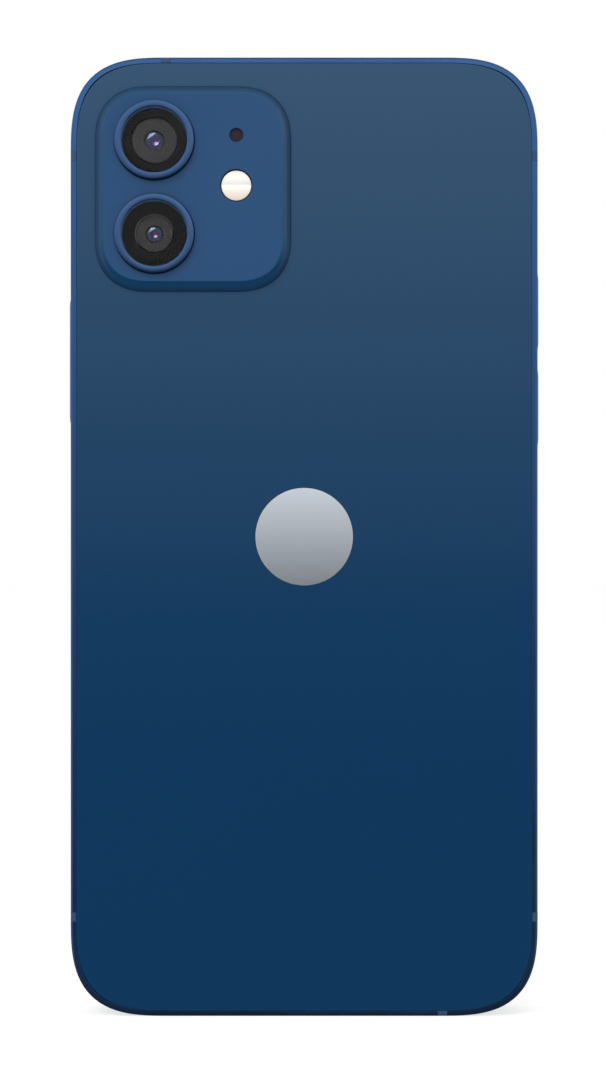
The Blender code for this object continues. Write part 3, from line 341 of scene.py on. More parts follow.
def joined(pieces, name):
    """Several pieces as one object."""
    bpy.ops.object.select_all(action="DESELECT")
    for piece in pieces:
        piece.select_set(True)
    bpy.context.view_layer.objects.active = pieces[0]
    if len(pieces) > 1:
        bpy.ops.object.join()
    pieces[0].name = pieces[0].data.name = name
    return pieces[0]


def combine(piece, others, operation="DIFFERENCE"):
    """Cuts pieces from another, or joins them on, and uses them up."""
    tool = joined(others, "tool")
    only(piece)
    modifier = piece.modifiers.new("cut", "BOOLEAN")
    modifier.operation = operation
    modifier.solver = "EXACT"
    modifier.object = tool
    bpy.ops.object.modifier_apply(modifier=modifier.name)
    bpy.data.objects.remove(tool)
    begin(piece, "VERT")
    bpy.ops.mesh.select_all(action="SELECT")
    bpy.ops.mesh.remove_doubles(threshold=WELD)
    finish_edit()
    return piece


def smooth(piece, degrees=32):
    """Shades a piece smooth, with its sharp edges kept and its flat faces left truly flat."""
    only(piece)
    bpy.ops.object.shade_smooth_by_angle(angle=math.radians(degrees))
    modifier = piece.modifiers.new("flats", "WEIGHTED_NORMAL")
    modifier.keep_sharp = True
    modifier.weight = 100
    bpy.ops.object.modifier_apply(modifier=modifier.name)


# Nodes


def connect(tree, value, socket):
    """Links a socket to an input, or sets the input to a value."""
    if isinstance(value, bpy.types.NodeSocket):
        tree.links.new(value, socket)
    else:
        socket.default_value = value


def node(tree, kind, **inputs):
    """A shader node with its inputs set or linked by name; a name with a trailing _ is a property."""
    made = tree.nodes.new(kind)
    for key, value in inputs.items():
        if key.endswith("_"):
            setattr(made, key[:-1], value)
        else:
            connect(tree, value, made.inputs[key.replace("_", " ")])
    return made


def maths(tree, operation, *values, kind="ShaderNodeMath", result="Value"):
    """One sum on numbers, given in the order of the node's inputs."""
    made = node(tree, kind, operation_=operation)
    for value, socket in zip(values, made.inputs):
        connect(tree, value, socket)
    return made.outputs[result]


def vector_maths(tree, operation, *values):
    """One sum on vectors; a length or a dot product comes back as a number."""
    result = "Value" if operation in ("LENGTH", "DOT_PRODUCT") else "Vector"
    return maths(tree, operation, *values, kind="ShaderNodeVectorMath", result=result)


def remapped(tree, value, low, high, **settings):
    """A value run from low to high onto 0 to 1, and held there beyond them."""
    return node(tree, "ShaderNodeMapRange", Value=value, From_Min=low, From_Max=high, **settings).outputs[0]


def set_stops(ramp, stops):
    """Sets a colour ramp's stops, each a position from 0 to 1 and a colour."""
    elements = ramp.color_ramp.elements
    for i, (position, colour) in enumerate(stops):
        stop = elements[i] if i < 2 else elements.new(position)
        stop.position = position
        stop.color = (*colour, 1.0)


def blend(tree, share, first, second):
    """The first colour turning into the second as the share goes from 0 to 1."""
    mix = node(tree, "ShaderNodeMix", data_type_="RGBA")
    share_in, first_in, second_in = mix.inputs[0], mix.inputs[6], mix.inputs[7]
    for value, socket in ((share, share_in), (first, first_in), (second, second_in)):
        connect(tree, value, socket)
    return mix.outputs[2]


def group_shell(name, inputs, result, kind):
    """An empty node group with named inputs and one output, and the sockets to build between."""
    tree = bpy.data.node_groups.new(name, "ShaderNodeTree")
    for label, sort, value in inputs:
        socket = tree.interface.new_socket(label, in_out="INPUT", socket_type=sort)
        if value is not None:
            socket.default_value = value
    tree.interface.new_socket(result, in_out="OUTPUT", socket_type=kind)
    return tree, tree.nodes.new("NodeGroupInput").outputs, tree.nodes.new("NodeGroupOutput").inputs[result]


FLOAT, COLOUR, VECTOR = "NodeSocketFloat", "NodeSocketColor", "NodeSocketVector"


def handling_group():
    """Faint smears from fingers and wiping, which change how rough a surface is."""
    inputs = (
        ("Place", VECTOR, None),
        ("Roughness", FLOAT, 0.2),
        ("Amount", FLOAT, 0.3),
        ("Size", FLOAT, 0.012),
    )
    tree, given, out = group_shell("handling_marks", inputs, "Roughness", FLOAT)
    scale = maths(tree, "DIVIDE", 1.0, given["Size"])
    smears = node(tree, "ShaderNodeTexNoise", Vector=given["Place"], Scale=scale, Detail=2.0)
    spread = remapped(tree, smears.outputs["Fac"], 0.3, 0.75)
    weight = maths(tree, "MULTIPLY", spread, given["Amount"])
    rougher = maths(tree, "MULTIPLY_ADD", weight, given["Roughness"], given["Roughness"])
    tree.links.new(rougher, out)
    return tree


def grain_group():
    """The height of a fine even grain, as bead blasting, moulding or etching leaves."""
    inputs = (("Place", VECTOR, None), ("Size", FLOAT, 0.0001))
    tree, given, out = group_shell("fine_grain", inputs, "Height", FLOAT)
    scale = maths(tree, "DIVIDE", 1.0, given["Size"])
    grains = node(tree, "ShaderNodeTexNoise", Vector=given["Place"], Scale=scale, Detail=3.0, Roughness=0.6)
    tree.links.new(grains.outputs["Fac"], out)
    return tree


def drift_group():
    """A colour that drifts a little lighter and darker across the surface."""
    inputs = (
        ("Place", VECTOR, None),
        ("Colour", COLOUR, None),
        ("Amount", FLOAT, 0.1),
        ("Size", FLOAT, 0.02),
    )
    tree, given, out = group_shell("colour_drift", inputs, "Colour", COLOUR)
    scale = maths(tree, "DIVIDE", 1.0, given["Size"])
    clouds = node(tree, "ShaderNodeTexNoise", Vector=given["Place"], Scale=scale, Detail=3.0)
    either_way = maths(tree, "SUBTRACT", clouds.outputs["Fac"], 0.5)
    change = maths(tree, "MULTIPLY_ADD", either_way, given["Amount"], 1.0)
    shade = node(tree, "ShaderNodeVectorMath", operation_="SCALE", Vector=given["Colour"], Scale=change)
    tree.links.new(shade.outputs["Vector"], out)
    return tree


def area_group():
    """A mask that is 1 inside a rounded rectangle standing in x and z."""
    inputs = (
        ("Place", VECTOR, None),
        ("Middle", VECTOR, None),
        ("Straight", VECTOR, None),
        ("Radius", FLOAT, 0.001),
    )
    tree, given, out = group_shell("rounded_area", inputs, "Mask", FLOAT)
    offset = vector_maths(tree, "SUBTRACT", given["Place"], given["Middle"])
    folded = vector_maths(tree, "ABSOLUTE", offset)
    past = vector_maths(tree, "SUBTRACT", folded, given["Straight"])
    in_corner = vector_maths(tree, "MAXIMUM", past, (0.0, 0.0, 0.0))
    reach = vector_maths(tree, "LENGTH", in_corner)
    tree.links.new(maths(tree, "LESS_THAN", reach, given["Radius"]), out)
    return tree


HANDLING, GRAIN, DRIFT, AREA = handling_group(), grain_group(), drift_group(), area_group()


def use_group(tree, group, **inputs):
    """The result of a node group placed in a material, with its inputs set or linked."""
    placed = node(tree, "ShaderNodeGroup", node_tree_=group, **inputs)
    return placed.outputs[0]


def colour_base(tree, shader, place, colour, amount, size=0.02):
    """Gives a finish its base colour, which drifts by an amount in clouds of a size."""
    tint = use_group(tree, DRIFT, Place=place, Colour=colour, Amount=amount, Size=size)
    tree.links.new(tint, shader.inputs["Base Color"])


def roughen(tree, shader, place, roughness, amount, size):
    """Gives a finish its roughness, which smears raise by an amount in patches of a size."""
    marks = use_group(tree, HANDLING, Place=place, Roughness=roughness, Amount=amount, Size=size)
    tree.links.new(marks, shader.inputs["Roughness"])


def emboss(tree, shader, height, distance, strength=1.0):
    """Gives a finish a relief."""
    bump = node(tree, "ShaderNodeBump", Strength=strength, Distance=distance, Height=height)
    tree.links.new(bump.outputs["Normal"], shader.inputs["Normal"])


def finish_shell(name, **constants):
    """A material with its Principled shader, its Object coordinates, and its plain values set."""
    material = bpy.data.materials.new(name)
    material.use_nodes = True
    tree = material.node_tree
    shader = tree.nodes["Principled BSDF"]
    for key, value in constants.items():
        shader.inputs[key.replace("_", " ")].default_value = value
    place = tree.nodes.new("ShaderNodeTexCoord").outputs["Object"]
    return material, tree, shader, place


def surface(name, colour, roughness, grain=None, smear=0.3, smear_size=0.012, drift=0.06, **constants):
    """A finish with drifting colour, smeared gloss and, where grain gives (size, height), a fine grain."""
    material, tree, shader, place = finish_shell(name, **constants)
    colour_base(tree, shader, place, (*colour, 1.0), drift)
    roughen(tree, shader, place, roughness, smear, smear_size)
    if grain:
        size, height = grain
        emboss(tree, shader, use_group(tree, GRAIN, Place=place, Size=size), height)
    return material


# Finishes


def blue_rail():
    """Anodised aluminium, bead blasted to a fine satin and dyed blue."""
    grain = (0.00009, 0.0000012)
    return surface("blue_anodised_aluminium", (0.045, 0.118, 0.285), 0.3, grain, smear=0.25, Metallic=1.0)


def ring_metal():
    """The brighter, polished blue aluminium of the lens rings."""
    grain = (0.00006, 0.0000004)
    return surface("polished_blue_ring", (0.056, 0.118, 0.255), 0.3, grain, Metallic=1.0)


def back_paint():
    """Deep blue paint under clear polished glass."""
    return surface(
        "deep_blue_glass",
        (0.004, 0.0315, 0.085),
        0.045,
        smear=0.2,
        smear_size=0.05,
        drift=0.03,
        IOR=1.5,
        Specular_Tint=(0.66, 0.91, 1.0, 1.0),
    )


def shaded_plateau_side():
    """The side of the plateau, where the glass is ground, its colour darkened a little as painted shade."""
    return surface("ground_blue_glass_painted_shade", (0.0035, 0.0275, 0.073), 0.2, smear=0.1, drift=0.03, IOR=1.3)


def plateau_frost():
    """The same glass etched matt on top of the plateau."""
    grain = (0.00006, 0.0000009)
    return surface("etched_blue_glass", (0.001, 0.044, 0.132), 0.42, grain, smear=0.15, IOR=1.45)


def emblem_silver(centre_z):
    """A polished silver-coloured disc, dished by a hair's breadth so that it gathers light from above."""
    name, grain = "polished_silver", (0.00012, 0.0000003)
    material = surface(name, (0.8, 0.87, 0.96), 0.2, grain, smear=0.1, drift=0.02, Metallic=1.0)
    tree = material.node_tree
    place, fine = tree.nodes["Texture Coordinate"].outputs["Object"], tree.nodes["Bump"]
    to_middle = (0.0, 0.0, EMBLEM_LEAN - centre_z)
    centred = node(tree, "ShaderNodeMapping", Vector=place, Location=to_middle).outputs["Vector"]
    square = vector_maths(tree, "DOT_PRODUCT", centred, centred)
    dish = maths(tree, "MULTIPLY", square, -0.5 / EMBLEM_CURVE)
    bowl = node(tree, "ShaderNodeBump", Strength=1.0, Distance=1.0, Height=dish)
    tree.links.new(bowl.outputs["Normal"], fine.inputs["Normal"])
    return material


def lens_window_glass():
    """Clear glass with a coating that takes most of the reflection away."""
    clear = {"IOR": 1.15, "Transmission_Weight": 1.0, "Base_Color": (1.0, 1.0, 1.0, 1.0)}
    material, tree, shader, place = finish_shell("coated_window_glass", **clear)
    roughen(tree, shader, place, 0.03, 0.2, 0.004)
    return material


def black_print():
    """The black ink behind a window's edge."""
    return surface("black_ink", (0.0015, 0.0015, 0.0016), 0.5, (0.0001, 0.0000005), IOR=1.1)


def barrel_black():
    """The moulded dark plastic of a lens barrel."""
    return surface("barrel_plastic", (0.009, 0.0092, 0.0093), 0.5, (0.00012, 0.000002), IOR=1.25)


def lens_coating(name, tint, colour, roughness):
    """A dark polished lens surface whose coating tints what it reflects."""
    material, tree, shader, place = finish_shell(name, IOR=1.5, Specular_Tint=(*tint, 1.0))
    colour_base(tree, shader, place, (*colour, 1.0), 0.8, 0.0012)
    roughen(tree, shader, place, roughness, 0.3, 0.002)
    return material


def flash_diffuser(centre_z):
    """The flash's cream diffuser with its light and shade painted in: lighter above and darker towards both
    edges, most at the lower one, with a painted bright line over a painted band of shade across the middle,
    where its two lamps meet.
    """
    material, tree, shader, place = finish_shell("flash_diffuser", IOR=1.45)
    height = node(tree, "ShaderNodeSeparateXYZ", Vector=place).outputs["Z"]
    along = remapped(tree, height, centre_z - FLASH_SHADING, centre_z + FLASH_SHADING)
    ramp = node(tree, "ShaderNodeValToRGB", Fac=along)
    # painted light and shade, from the diffuser's lower edge at 0 to its top at 1
    stops = (
        (0.0, (0.66, 0.57, 0.5)),
        (0.3, (0.72, 0.67, 0.6)),
        (0.46, (0.82, 0.79, 0.74)),
        (0.5, (0.86, 0.84, 0.8)),
        (0.53, (0.64, 0.61, 0.57)),
        (0.66, (0.7, 0.67, 0.62)),
        (0.8, (0.78, 0.74, 0.69)),
        (1.0, (0.72, 0.66, 0.59)),
    )
    set_stops(ramp, stops)
    tree.links.new(ramp.outputs["Color"], shader.inputs["Base Color"])
    cells = node(tree, "ShaderNodeTexVoronoi", Vector=place, Scale=5200.0)
    emboss(tree, shader, cells.outputs["Distance"], 0.00002, strength=0.5)
    roughen(tree, shader, place, 0.12, 0.3, 0.002)
    return material


def woven_mesh(name, colour, pitch):
    """A fine woven steel mesh: crossed wires, with the gaps between them coloured near black as painted
    shade.
    """
    material, tree, shader, place = finish_shell(name, Metallic=0.7)
    split = node(tree, "ShaderNodeSeparateXYZ", Vector=place)
    wires = 0.0
    for axis in ("X", "Y", "Z"):
        angle = maths(tree, "MULTIPLY", split.outputs[axis], math.pi / pitch)
        wave = maths(tree, "ABSOLUTE", maths(tree, "SINE", angle))
        wires = maths(tree, "MAXIMUM", wires, wave)
    # painted shade: the openings between the wires are coloured nearly black
    gap = tuple(c * 0.15 for c in colour)
    base = blend(tree, wires, (*gap, 1.0), (*colour, 1.0))
    tree.links.new(base, shader.inputs["Base Color"])
    emboss(tree, shader, wires, pitch * 0.4, strength=0.6)
    roughen(tree, shader, place, 0.45, 0.3, 0.003)
    return material


def black_cover_glass():
    """The screen's glass, switched off: a black border and notch round the faintly lighter display."""
    material, tree, shader, place = finish_shell("black_cover_glass", IOR=1.35, Metallic=0.0)

    def area(x, z, half_width, half_height, radius):
        """A mask of a rounded area of the glass round a place on it."""
        straight = (half_width - radius, WHOLE_DEPTH, half_height - radius)
        return use_group(tree, AREA, Place=place, Middle=(x, 0.0, z), Straight=straight, Radius=radius)

    active = area(0.0, HEIGHT / 2, -LEFT - ACTIVE_INSET, HEIGHT / 2 - ACTIVE_INSET, DISPLAY_CORNER)
    notch = area(0.0, HEIGHT - ACTIVE_INSET, NOTCH_WIDTH / 2, NOTCH_DEPTH, NOTCH_CORNER)
    shown = maths(tree, "GREATER_THAN", active, notch)
    colour = blend(tree, shown, (0.0012, 0.0012, 0.0014, 1.0), (0.0065, 0.0075, 0.0105, 1.0))
    for name in EYES:
        middle = node_middle(name)
        eye = area(middle.x, middle.z, EYE_RADIUS, EYE_RADIUS, EYE_RADIUS)
        colour = blend(tree, eye, colour, (0.005, 0.008, 0.02, 1.0))
    colour_base(tree, shader, place, colour, 0.1)
    roughen(tree, shader, place, 0.05, 0.2, 0.05)
    return material


def display_face():
    """The display, switched off: nearly black, with the faintest blue in its layers."""
    return surface("display_off", (0.0045, 0.005, 0.007), 0.6, smear=0.1, drift=0.1, IOR=1.02)


def moulded(name, colour, roughness=0.5):
    """Moulded plastic with a fine spark grain."""
    return surface(name, colour, roughness, (0.00012, 0.000002), smear=0.2, IOR=1.45)


def plain_metal(name, colour, roughness):
    """Stamped or machined metal, left as it comes."""
    grain = (0.00015, 0.0000012)
    return surface(name, colour, roughness, grain, smear=0.35, smear_size=0.008, Metallic=1.0)


def dress(piece, material):
    """Gives a piece one material."""
    piece.data.materials.clear()
    piece.data.materials.append(material)


def place_on(piece, body, slot, *nodes):
    """Rides a finished piece on its body, in place of the CAD nodes it stands for, which it hides; the slot
    is not used.
    """
    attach(piece, body)
    if nodes:
        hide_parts(*nodes)


def finish_piece(piece, material, body, slot, *nodes, degrees=32):
    """Shades a piece, gives it its material and places it."""
    smooth(piece, degrees)
    dress(piece, material)
    place_on(piece, body, slot, *nodes)


def node_middle(name):
    """The middle of a CAD node's box."""
    low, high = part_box(name)
    return (low + high) / 2


def round_box(name):
    """A round CAD node: the middle of its face at the back, its radius, and its length towards the screen."""
    low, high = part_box(name)
    middle = (low + high) / 2
    return Vector((middle.x, low.y, middle.z)), (high.x - low.x) / 2, high.y - low.y


# The rail and what is let into it


def bar(name):
    """A bar with the phone's outline and depth, its long edges softened."""
    piece = slab(name, 0.0, (BACK_Y, SCREEN_Y))
    for y in (BACK_Y, SCREEN_Y):
        bevel(piece, lies_at(1, y), EDGE_RADIUS, EDGE_STEPS)
    return piece


def rail_blank():
    """The rail with nothing let into it: the bar with both of its sides opened and stepped for the glass."""
    rail = bar("rail")
    begin(rail)
    pick_faces(rail, lambda middle, normal: abs(normal.y) > SQUARE_ON)
    bpy.ops.mesh.inset(thickness=RIM - EDGE_RADIUS, depth=0.0)
    bpy.ops.mesh.inset(thickness=RIM_CHAMFER, depth=-RIM_CHAMFER)
    bpy.ops.mesh.inset(thickness=SEAT_DRAFT, depth=-GLASS_SEAT)
    bpy.ops.mesh.inset(thickness=RAIL_WALL - RIM - RIM_CHAMFER, depth=0.0)
    bpy.ops.mesh.bridge_edge_loops()
    bpy.ops.mesh.select_all(action="SELECT")
    bpy.ops.mesh.normals_make_consistent(inside=False)
    finish_edit()
    return rail


def slot_cutter(name, side, size, corner):
    """A cutter for a moving piece's slot through a side rail, size wide and long, that flares outside."""
    outward = 1 if side > 0 else -1
    z = node_middle(name).z
    half_y, half_z = size[0] / 2 + SLOT_GAP, size[1] / 2 + SLOT_GAP
    inner, outer = sorted((side - outward * SLOT_REACH, side - outward * SLOT_CHAMFER))
    low, high = Vector((inner, MID_Y - half_y, z - half_z)), Vector((outer, MID_Y + half_y, z + half_z))
    cutter = stadium(f"{name}_slot", low, high, 0, corner=corner + SLOT_GAP - TOUCH)
    begin(cutter)
    pick_faces(cutter, faces_along(0, outward))
    draw_out((outward * SLOT_CHAMFER, 0, 0))
    grow = (1, 1 + SLOT_CHAMFER / half_y, 1 + SLOT_CHAMFER / half_z)
    bpy.ops.transform.resize(value=grow, center_override=(side, MID_Y, z))
    draw_out((outward * RAIL_WALL, 0, 0))
    finish_edit()
    return cutter


def rail_cutters():
    """Cutters for every button, the ring switch and the SIM tray."""
    cutters = []
    for name, (side, length) in BUTTONS.items():
        cutters.append(slot_cutter(name, side, (BUTTON_WIDTH, length), BUTTON_WIDTH / 2))
    cutters.append(slot_cutter("ring_switch_lever", RIGHT, LEVER_SLOT, LEVER_CORNER))
    cutters.append(slot_cutter("sim_tray", RIGHT, TRAY_FACE, TRAY_FACE[0] / 2))
    return cutters


def drill(name, x, radius):
    """A cutter up through the bottom rail that leaves a small chamfer round the mouth."""
    mouth, flare, end = radius + DRILL_FLARE, DRILL_FLARE, SLOT_REACH
    profile = [(0, -MM), (mouth, -MM), (mouth, 0), (radius, flare), (radius, end), (0, end)]
    return turned(name, (x, MID_Y, 0), profile, UP, segments=40)


def bottom_cutters():
    """Cutters for the sound holes, the two screws and the charging port."""
    cutters = []
    for side, count in SOUND_HOLES.items():
        for i in range(count):
            cutters.append(drill(f"hole_{side}_{i}", side * (FIRST_HOLE + i * HOLE_PITCH), HOLE_RADIUS))
        cutters.append(drill(f"screw_hole_{side}", side * SCREW_X, SCREW_RADIUS + HAIRLINE))
    half_x, half_y = PORT_SIZE[0] / 2, PORT_SIZE[1] / 2
    low, high = Vector((-half_x, MID_Y - half_y, DRILL_FLARE)), Vector((half_x, MID_Y + half_y, SLOT_REACH))
    port = stadium("port_hole", low, high, 2, segments=20)
    begin(port)
    pick_faces(port, faces_along(2, -1))
    draw_out((0, 0, -DRILL_FLARE))
    grow = (1 + DRILL_FLARE / half_x, 1 + DRILL_FLARE / half_y, 1)
    bpy.ops.transform.resize(value=grow, center_override=(0, MID_Y, 0))
    draw_out((0, 0, -MM))
    finish_edit()
    return cutters + [port]


def band_block(name, gap):
    """A block round a plastic band, gap larger on every side, that runs out past the rail's outer face."""
    low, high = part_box(f"antenna_band_{name}")
    middle = (low + high) / 2
    axis = 0 if abs(middle.x) > WIDTH / 2 - MM else 2
    sign = 1 if middle[axis] > (0, 0, HEIGHT / 2)[axis] else -1
    piece = block(f"{name}_block", low - gap, high + gap)
    begin(piece)
    pick_faces(piece, faces_along(axis, sign))
    outward = Vector((0, 0, 0))
    outward[axis] = sign * MM
    bpy.ops.transform.translate(value=outward)
    finish_edit()
    return piece


def make_rail(metal):
    """The whole rail, with every opening cut through it, and the grooves that the plastic bands fill."""
    rail = rail_blank()
    grooves = [band_block(name, Vector((HAIRLINE, MM, HAIRLINE))) for name in BANDS]
    combine(rail, rail_cutters() + bottom_cutters() + grooves)
    finish_piece(rail, metal, "frame", "rail", "frame")


def make_bands(plastic):
    """The plastic antenna bands, cut from a bar like the rail's so that they finish flush with it."""
    for name in BANDS:
        band = bar(f"band_{name}")
        combine(band, [band_block(name, Vector((0, MM, 0)))], "INTERSECT")
        finish_piece(band, plastic, "frame", "band", f"antenna_band_{name}")


def make_button(name, metal):
    """A long button with round ends, a softened crown, and the flange that keeps it in."""
    side, length = BUTTONS[name]
    outward = 1 if side > 0 else -1
    low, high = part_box(name)
    outer = high.x if outward > 0 else low.x
    inner = side - outward * (RAIL_WALL + FLANGE_PLAY)
    z = (low.z + high.z) / 2
    near, far = sorted((inner, outer))
    half_y, half_z = BUTTON_WIDTH / 2, length / 2
    low, high = Vector((near, MID_Y - half_y, z - half_z)), Vector((far, MID_Y + half_y, z + half_z))
    button = stadium(f"{name}_cap", low, high, 0, segments=20)
    bevel(button, lies_at(0, outer), CROWN_EDGE, 6)
    begin(button)
    pick_faces(button, faces_along(0, -outward))
    draw_out((0, 0, 0))
    grow = (1, 1 + FLANGE / half_y, 1 + FLANGE / half_z)
    bpy.ops.transform.resize(value=grow, center_override=(inner, MID_Y, z))
    draw_out((-outward * FLANGE_THICKNESS, 0, 0))
    finish_edit()
    finish_piece(button, metal, name, "rail", name)


def make_lever(metal):
    """The ring switch's lever: a small flat knob with round corners, on its wider foot."""
    low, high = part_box("ring_switch_lever")
    y, z = (low.y + high.y) / 2, (low.z + high.z) / 2
    half_z = LEVER_SLOT[1] / 2 - LEVER_GAP
    inner = RIGHT - RAIL_WALL - FLANGE_PLAY
    knob_low = Vector((inner, y - LEVER_HALF_WIDTH, z - half_z))
    knob_high = Vector((high.x, y + LEVER_HALF_WIDTH, z + half_z))
    knob = stadium("ring_lever", knob_low, knob_high, 0, segments=10, corner=LEVER_CORNER)
    bevel(knob, lies_at(0, high.x), LEVER_EDGE, 5)
    foot = stadium("foot", low, Vector((inner, high.y, high.z)), 0, corner=LEVER_CORNER)
    lever = joined([knob, foot], "ring_lever")
    finish_piece(lever, metal, "ring_switch_lever", "rail", "ring_switch_lever")


def make_screw(name, side, metal):
    """A screw beside the port: a chamfered head with a five-lobed drive."""
    low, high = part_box(f"bottom_screw_{name}")
    at = Vector((side * SCREW_X, MID_Y, 0))
    rim, under, floor = low.z, low.z + SCREW_HEAD, low.z + DRIVE_DEPTH
    profile = [(0, rim), (SCREW_RADIUS - SCREW_CHAMFER, rim), (SCREW_RADIUS, rim + SCREW_CHAMFER)]
    profile += [(SCREW_RADIUS, under), (SHANK_RADIUS, under), (SHANK_RADIUS, high.z), (0, high.z)]
    screw = turned(f"screw_{name}", at, profile, UP, segments=40)
    lobes = []
    for i in range(LOBES):
        angle = math.pi / 2 + 2 * math.pi * i / LOBES
        place = at + LOBE_REACH * Vector((math.cos(angle), math.sin(angle), 0))
        lobes.append(rod(f"lobe_{i}", place, LOBE_RADIUS, -MM, floor, UP, segments=16))
    combine(screw, lobes)
    combine(screw, [rod("core", at, DRIVE_CORE, -MM, floor, UP, segments=20)])
    finish_piece(screw, metal, "frame", "rail", f"bottom_screw_{name}")


def make_tray(metal):
    """The SIM tray: its face with the eject hole, and its tongue with the card's pocket."""
    low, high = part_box("sim_tray")
    card_low, card_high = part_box("sim_card")
    z = (low.z + high.z) / 2
    half_y, half_z = TRAY_FACE[0] / 2, TRAY_FACE[1] / 2
    inner = RIGHT - RAIL_WALL
    face_low = Vector((inner, MID_Y - half_y, z - half_z))
    face_high = Vector((RIGHT, MID_Y + half_y, z + half_z))
    tray = stadium("tray", face_low, face_high, 0, segments=20, corner=half_y - HAIRLINE)
    bevel(tray, lies_at(0, RIGHT), TRAY_EDGE, 4)
    half_y, half_z = TONGUE_THICKNESS / 2, TONGUE_WIDTH / 2
    tongue_low = Vector((low.x, MID_Y - half_y, z - half_z))
    tongue_high = Vector((inner + MM, MID_Y + half_y, z + half_z))
    tongue = stadium("tongue", tongue_low, tongue_high, 1, segments=6, corner=MM)
    combine(tray, [tongue], "UNION")
    gap = Vector((CARD_GAP, CARD_GAP, CARD_GAP))
    pocket_high = card_high + gap + Vector((0, 2 * MM, 0))
    pocket = stadium("pocket", card_low - gap, pocket_high, 1, segments=6, corner=0.6 * MM)
    end = (RIGHT, MID_Y, face_low.z + TRAY_FACE[0] / 2)
    hole = rod("eject_hole", end, EJECT_RADIUS, -EJECT_DEPTH, MM, ASIDE, segments=24)
    combine(tray, [pocket, hole])
    finish_piece(tray, metal, "sim_tray", "rail", "sim_tray")


def make_card(plastic):
    """The SIM card: one corner cut off and the two below it rounded."""
    low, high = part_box("sim_card")
    middle_z = (low.z + high.z) / 2
    card = block("card", low, high)
    begin(card, "EDGE")
    near = MM / 10
    pick_edges(card, lambda a, b: runs_along(1)(a, b) and a.x > high.x - near and a.z > high.z - near)
    bpy.ops.mesh.bevel(offset=CARD_CUT, segments=1, affect="EDGES")
    finish_edit()
    bevel(card, lambda a, b: runs_along(1)(a, b) and a.z < middle_z, CARD_CORNER, 6)
    finish_piece(card, plastic, "sim_tray", "card", "sim_card")


def make_contacts(gold):
    """The six gold contacts on the card."""
    low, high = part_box("sim_card")
    middle = (low + high) / 2
    half = Vector((PAD_SIZE[0] / 2, PAD_PROUD, PAD_SIZE[1] / 2))
    pads = []
    for i in (-0.5, 0.5):
        for j in (-1, 0, 1):
            at = Vector((middle.x + i * PAD_PITCH[0], high.y, middle.z + j * PAD_PITCH[1]))
            pads.append(stadium("pad", at - half, at + half, 1, segments=4, corner=0.4 * MM))
    finish_piece(joined(pads, "card_contacts"), gold, "sim_tray", "contacts")


# The back glass, the plateau and the emblem


def plateau_block():
    """The camera plateau: its sides rise steeply and round over to the top, the lower side over more."""
    low = Vector((PLATEAU_LEFT, BACK_Y - TOUCH, PLATEAU_TOP - PLATEAU_LENGTH))
    high = Vector((PLATEAU_LEFT + PLATEAU_WIDTH, BACK_Y + PANE_THICKNESS / 2, PLATEAU_TOP))
    plateau = block("plateau", low, high)
    bevel(plateau, runs_along(1), PLATEAU_CORNER, 24, PLATEAU_CORNER_PROFILE)
    begin(plateau)
    pick_faces(plateau, faces_along(1, -1))
    before_in, before_up = 0.0, 0.0
    for step in range(1, PLATEAU_STEPS + 1):
        turn = math.pi / 2 * step / PLATEAU_STEPS
        inward, up = 1 - math.cos(turn), math.sin(turn)
        thickness = PLATEAU_SLOPE * (inward - before_in)
        bpy.ops.mesh.inset(thickness=thickness, depth=PLATEAU_RISE * (up - before_up))
        bpy.ops.transform.translate(value=(0, 0, PLATEAU_LEAN * (inward - before_in)))
        before_in, before_up = inward, up
    finish_edit()
    return plateau


def paint(piece, slot, test):
    """Gives the faces that pass a test one of the piece's materials."""
    begin(piece)
    pick_faces(piece, test)
    piece.active_material_index = slot
    bpy.ops.object.material_slot_assign()
    finish_edit()


def make_back(glass, frost, side):
    """The back pane with its plateau in one piece, holed for the rings, the flash and the microphone."""
    pane = slab("back_pane", PANE_INSET, (BACK_Y, BACK_Y + PANE_THICKNESS))
    bevel(pane, lies_at(1, BACK_Y), PANE_EDGE, 4)
    combine(pane, [plateau_block()], "UNION")
    for name in ("wide_lens_ring", "ultrawide_lens_ring", "flash_lens", "rear_microphone"):
        at, radius, _ = round_box(name)
        radius += HOLE_GAP
        mouth = radius + HOLE_LIP
        profile = [(0, -MM), (mouth, -MM), (mouth, 0), (radius, HOLE_LIP), (radius, 4 * MM), (0, 4 * MM)]
        combine(pane, [turned(f"{name}_hole", (at.x, BACK_Y - PLATEAU_RISE, at.z), profile)])
    at, radius, _ = round_box("back_emblem")
    pocket_at = (at.x, BACK_Y, at.z)
    combine(pane, [rod("emblem_pocket", pocket_at, radius + HAIRLINE, -MM, EMBLEM_POCKET, segments=160)])
    smooth(pane, 28)
    for material in (glass, frost, side):
        pane.data.materials.append(material)
    top, shoulder = BACK_Y - FROST_RISE, BACK_Y - SHADED_SIDE_RISE
    paint(pane, 1, lambda middle, normal: middle.y < top and normal.y < -0.9)
    # the lower side of the plateau takes the glass colour darkened as painted shade
    paint(pane, 2, lambda middle, normal: shoulder < middle.y < BACK_Y - TOUCH)
    place_on(pane, "frame", "back_glass", "back_glass")


def make_emblem(silver):
    """The plain round emblem let into the glass: a polished disc with a softened edge."""
    at, radius, depth = round_box("back_emblem")
    profile = [(0, 0), (radius - EMBLEM_EDGE, 0), (radius, EMBLEM_EDGE), (radius, depth), (0, depth)]
    emblem = turned("emblem", at, profile, segments=160)
    finish_piece(emblem, silver, "frame", "emblem", "back_emblem", degrees=20)


# The cameras


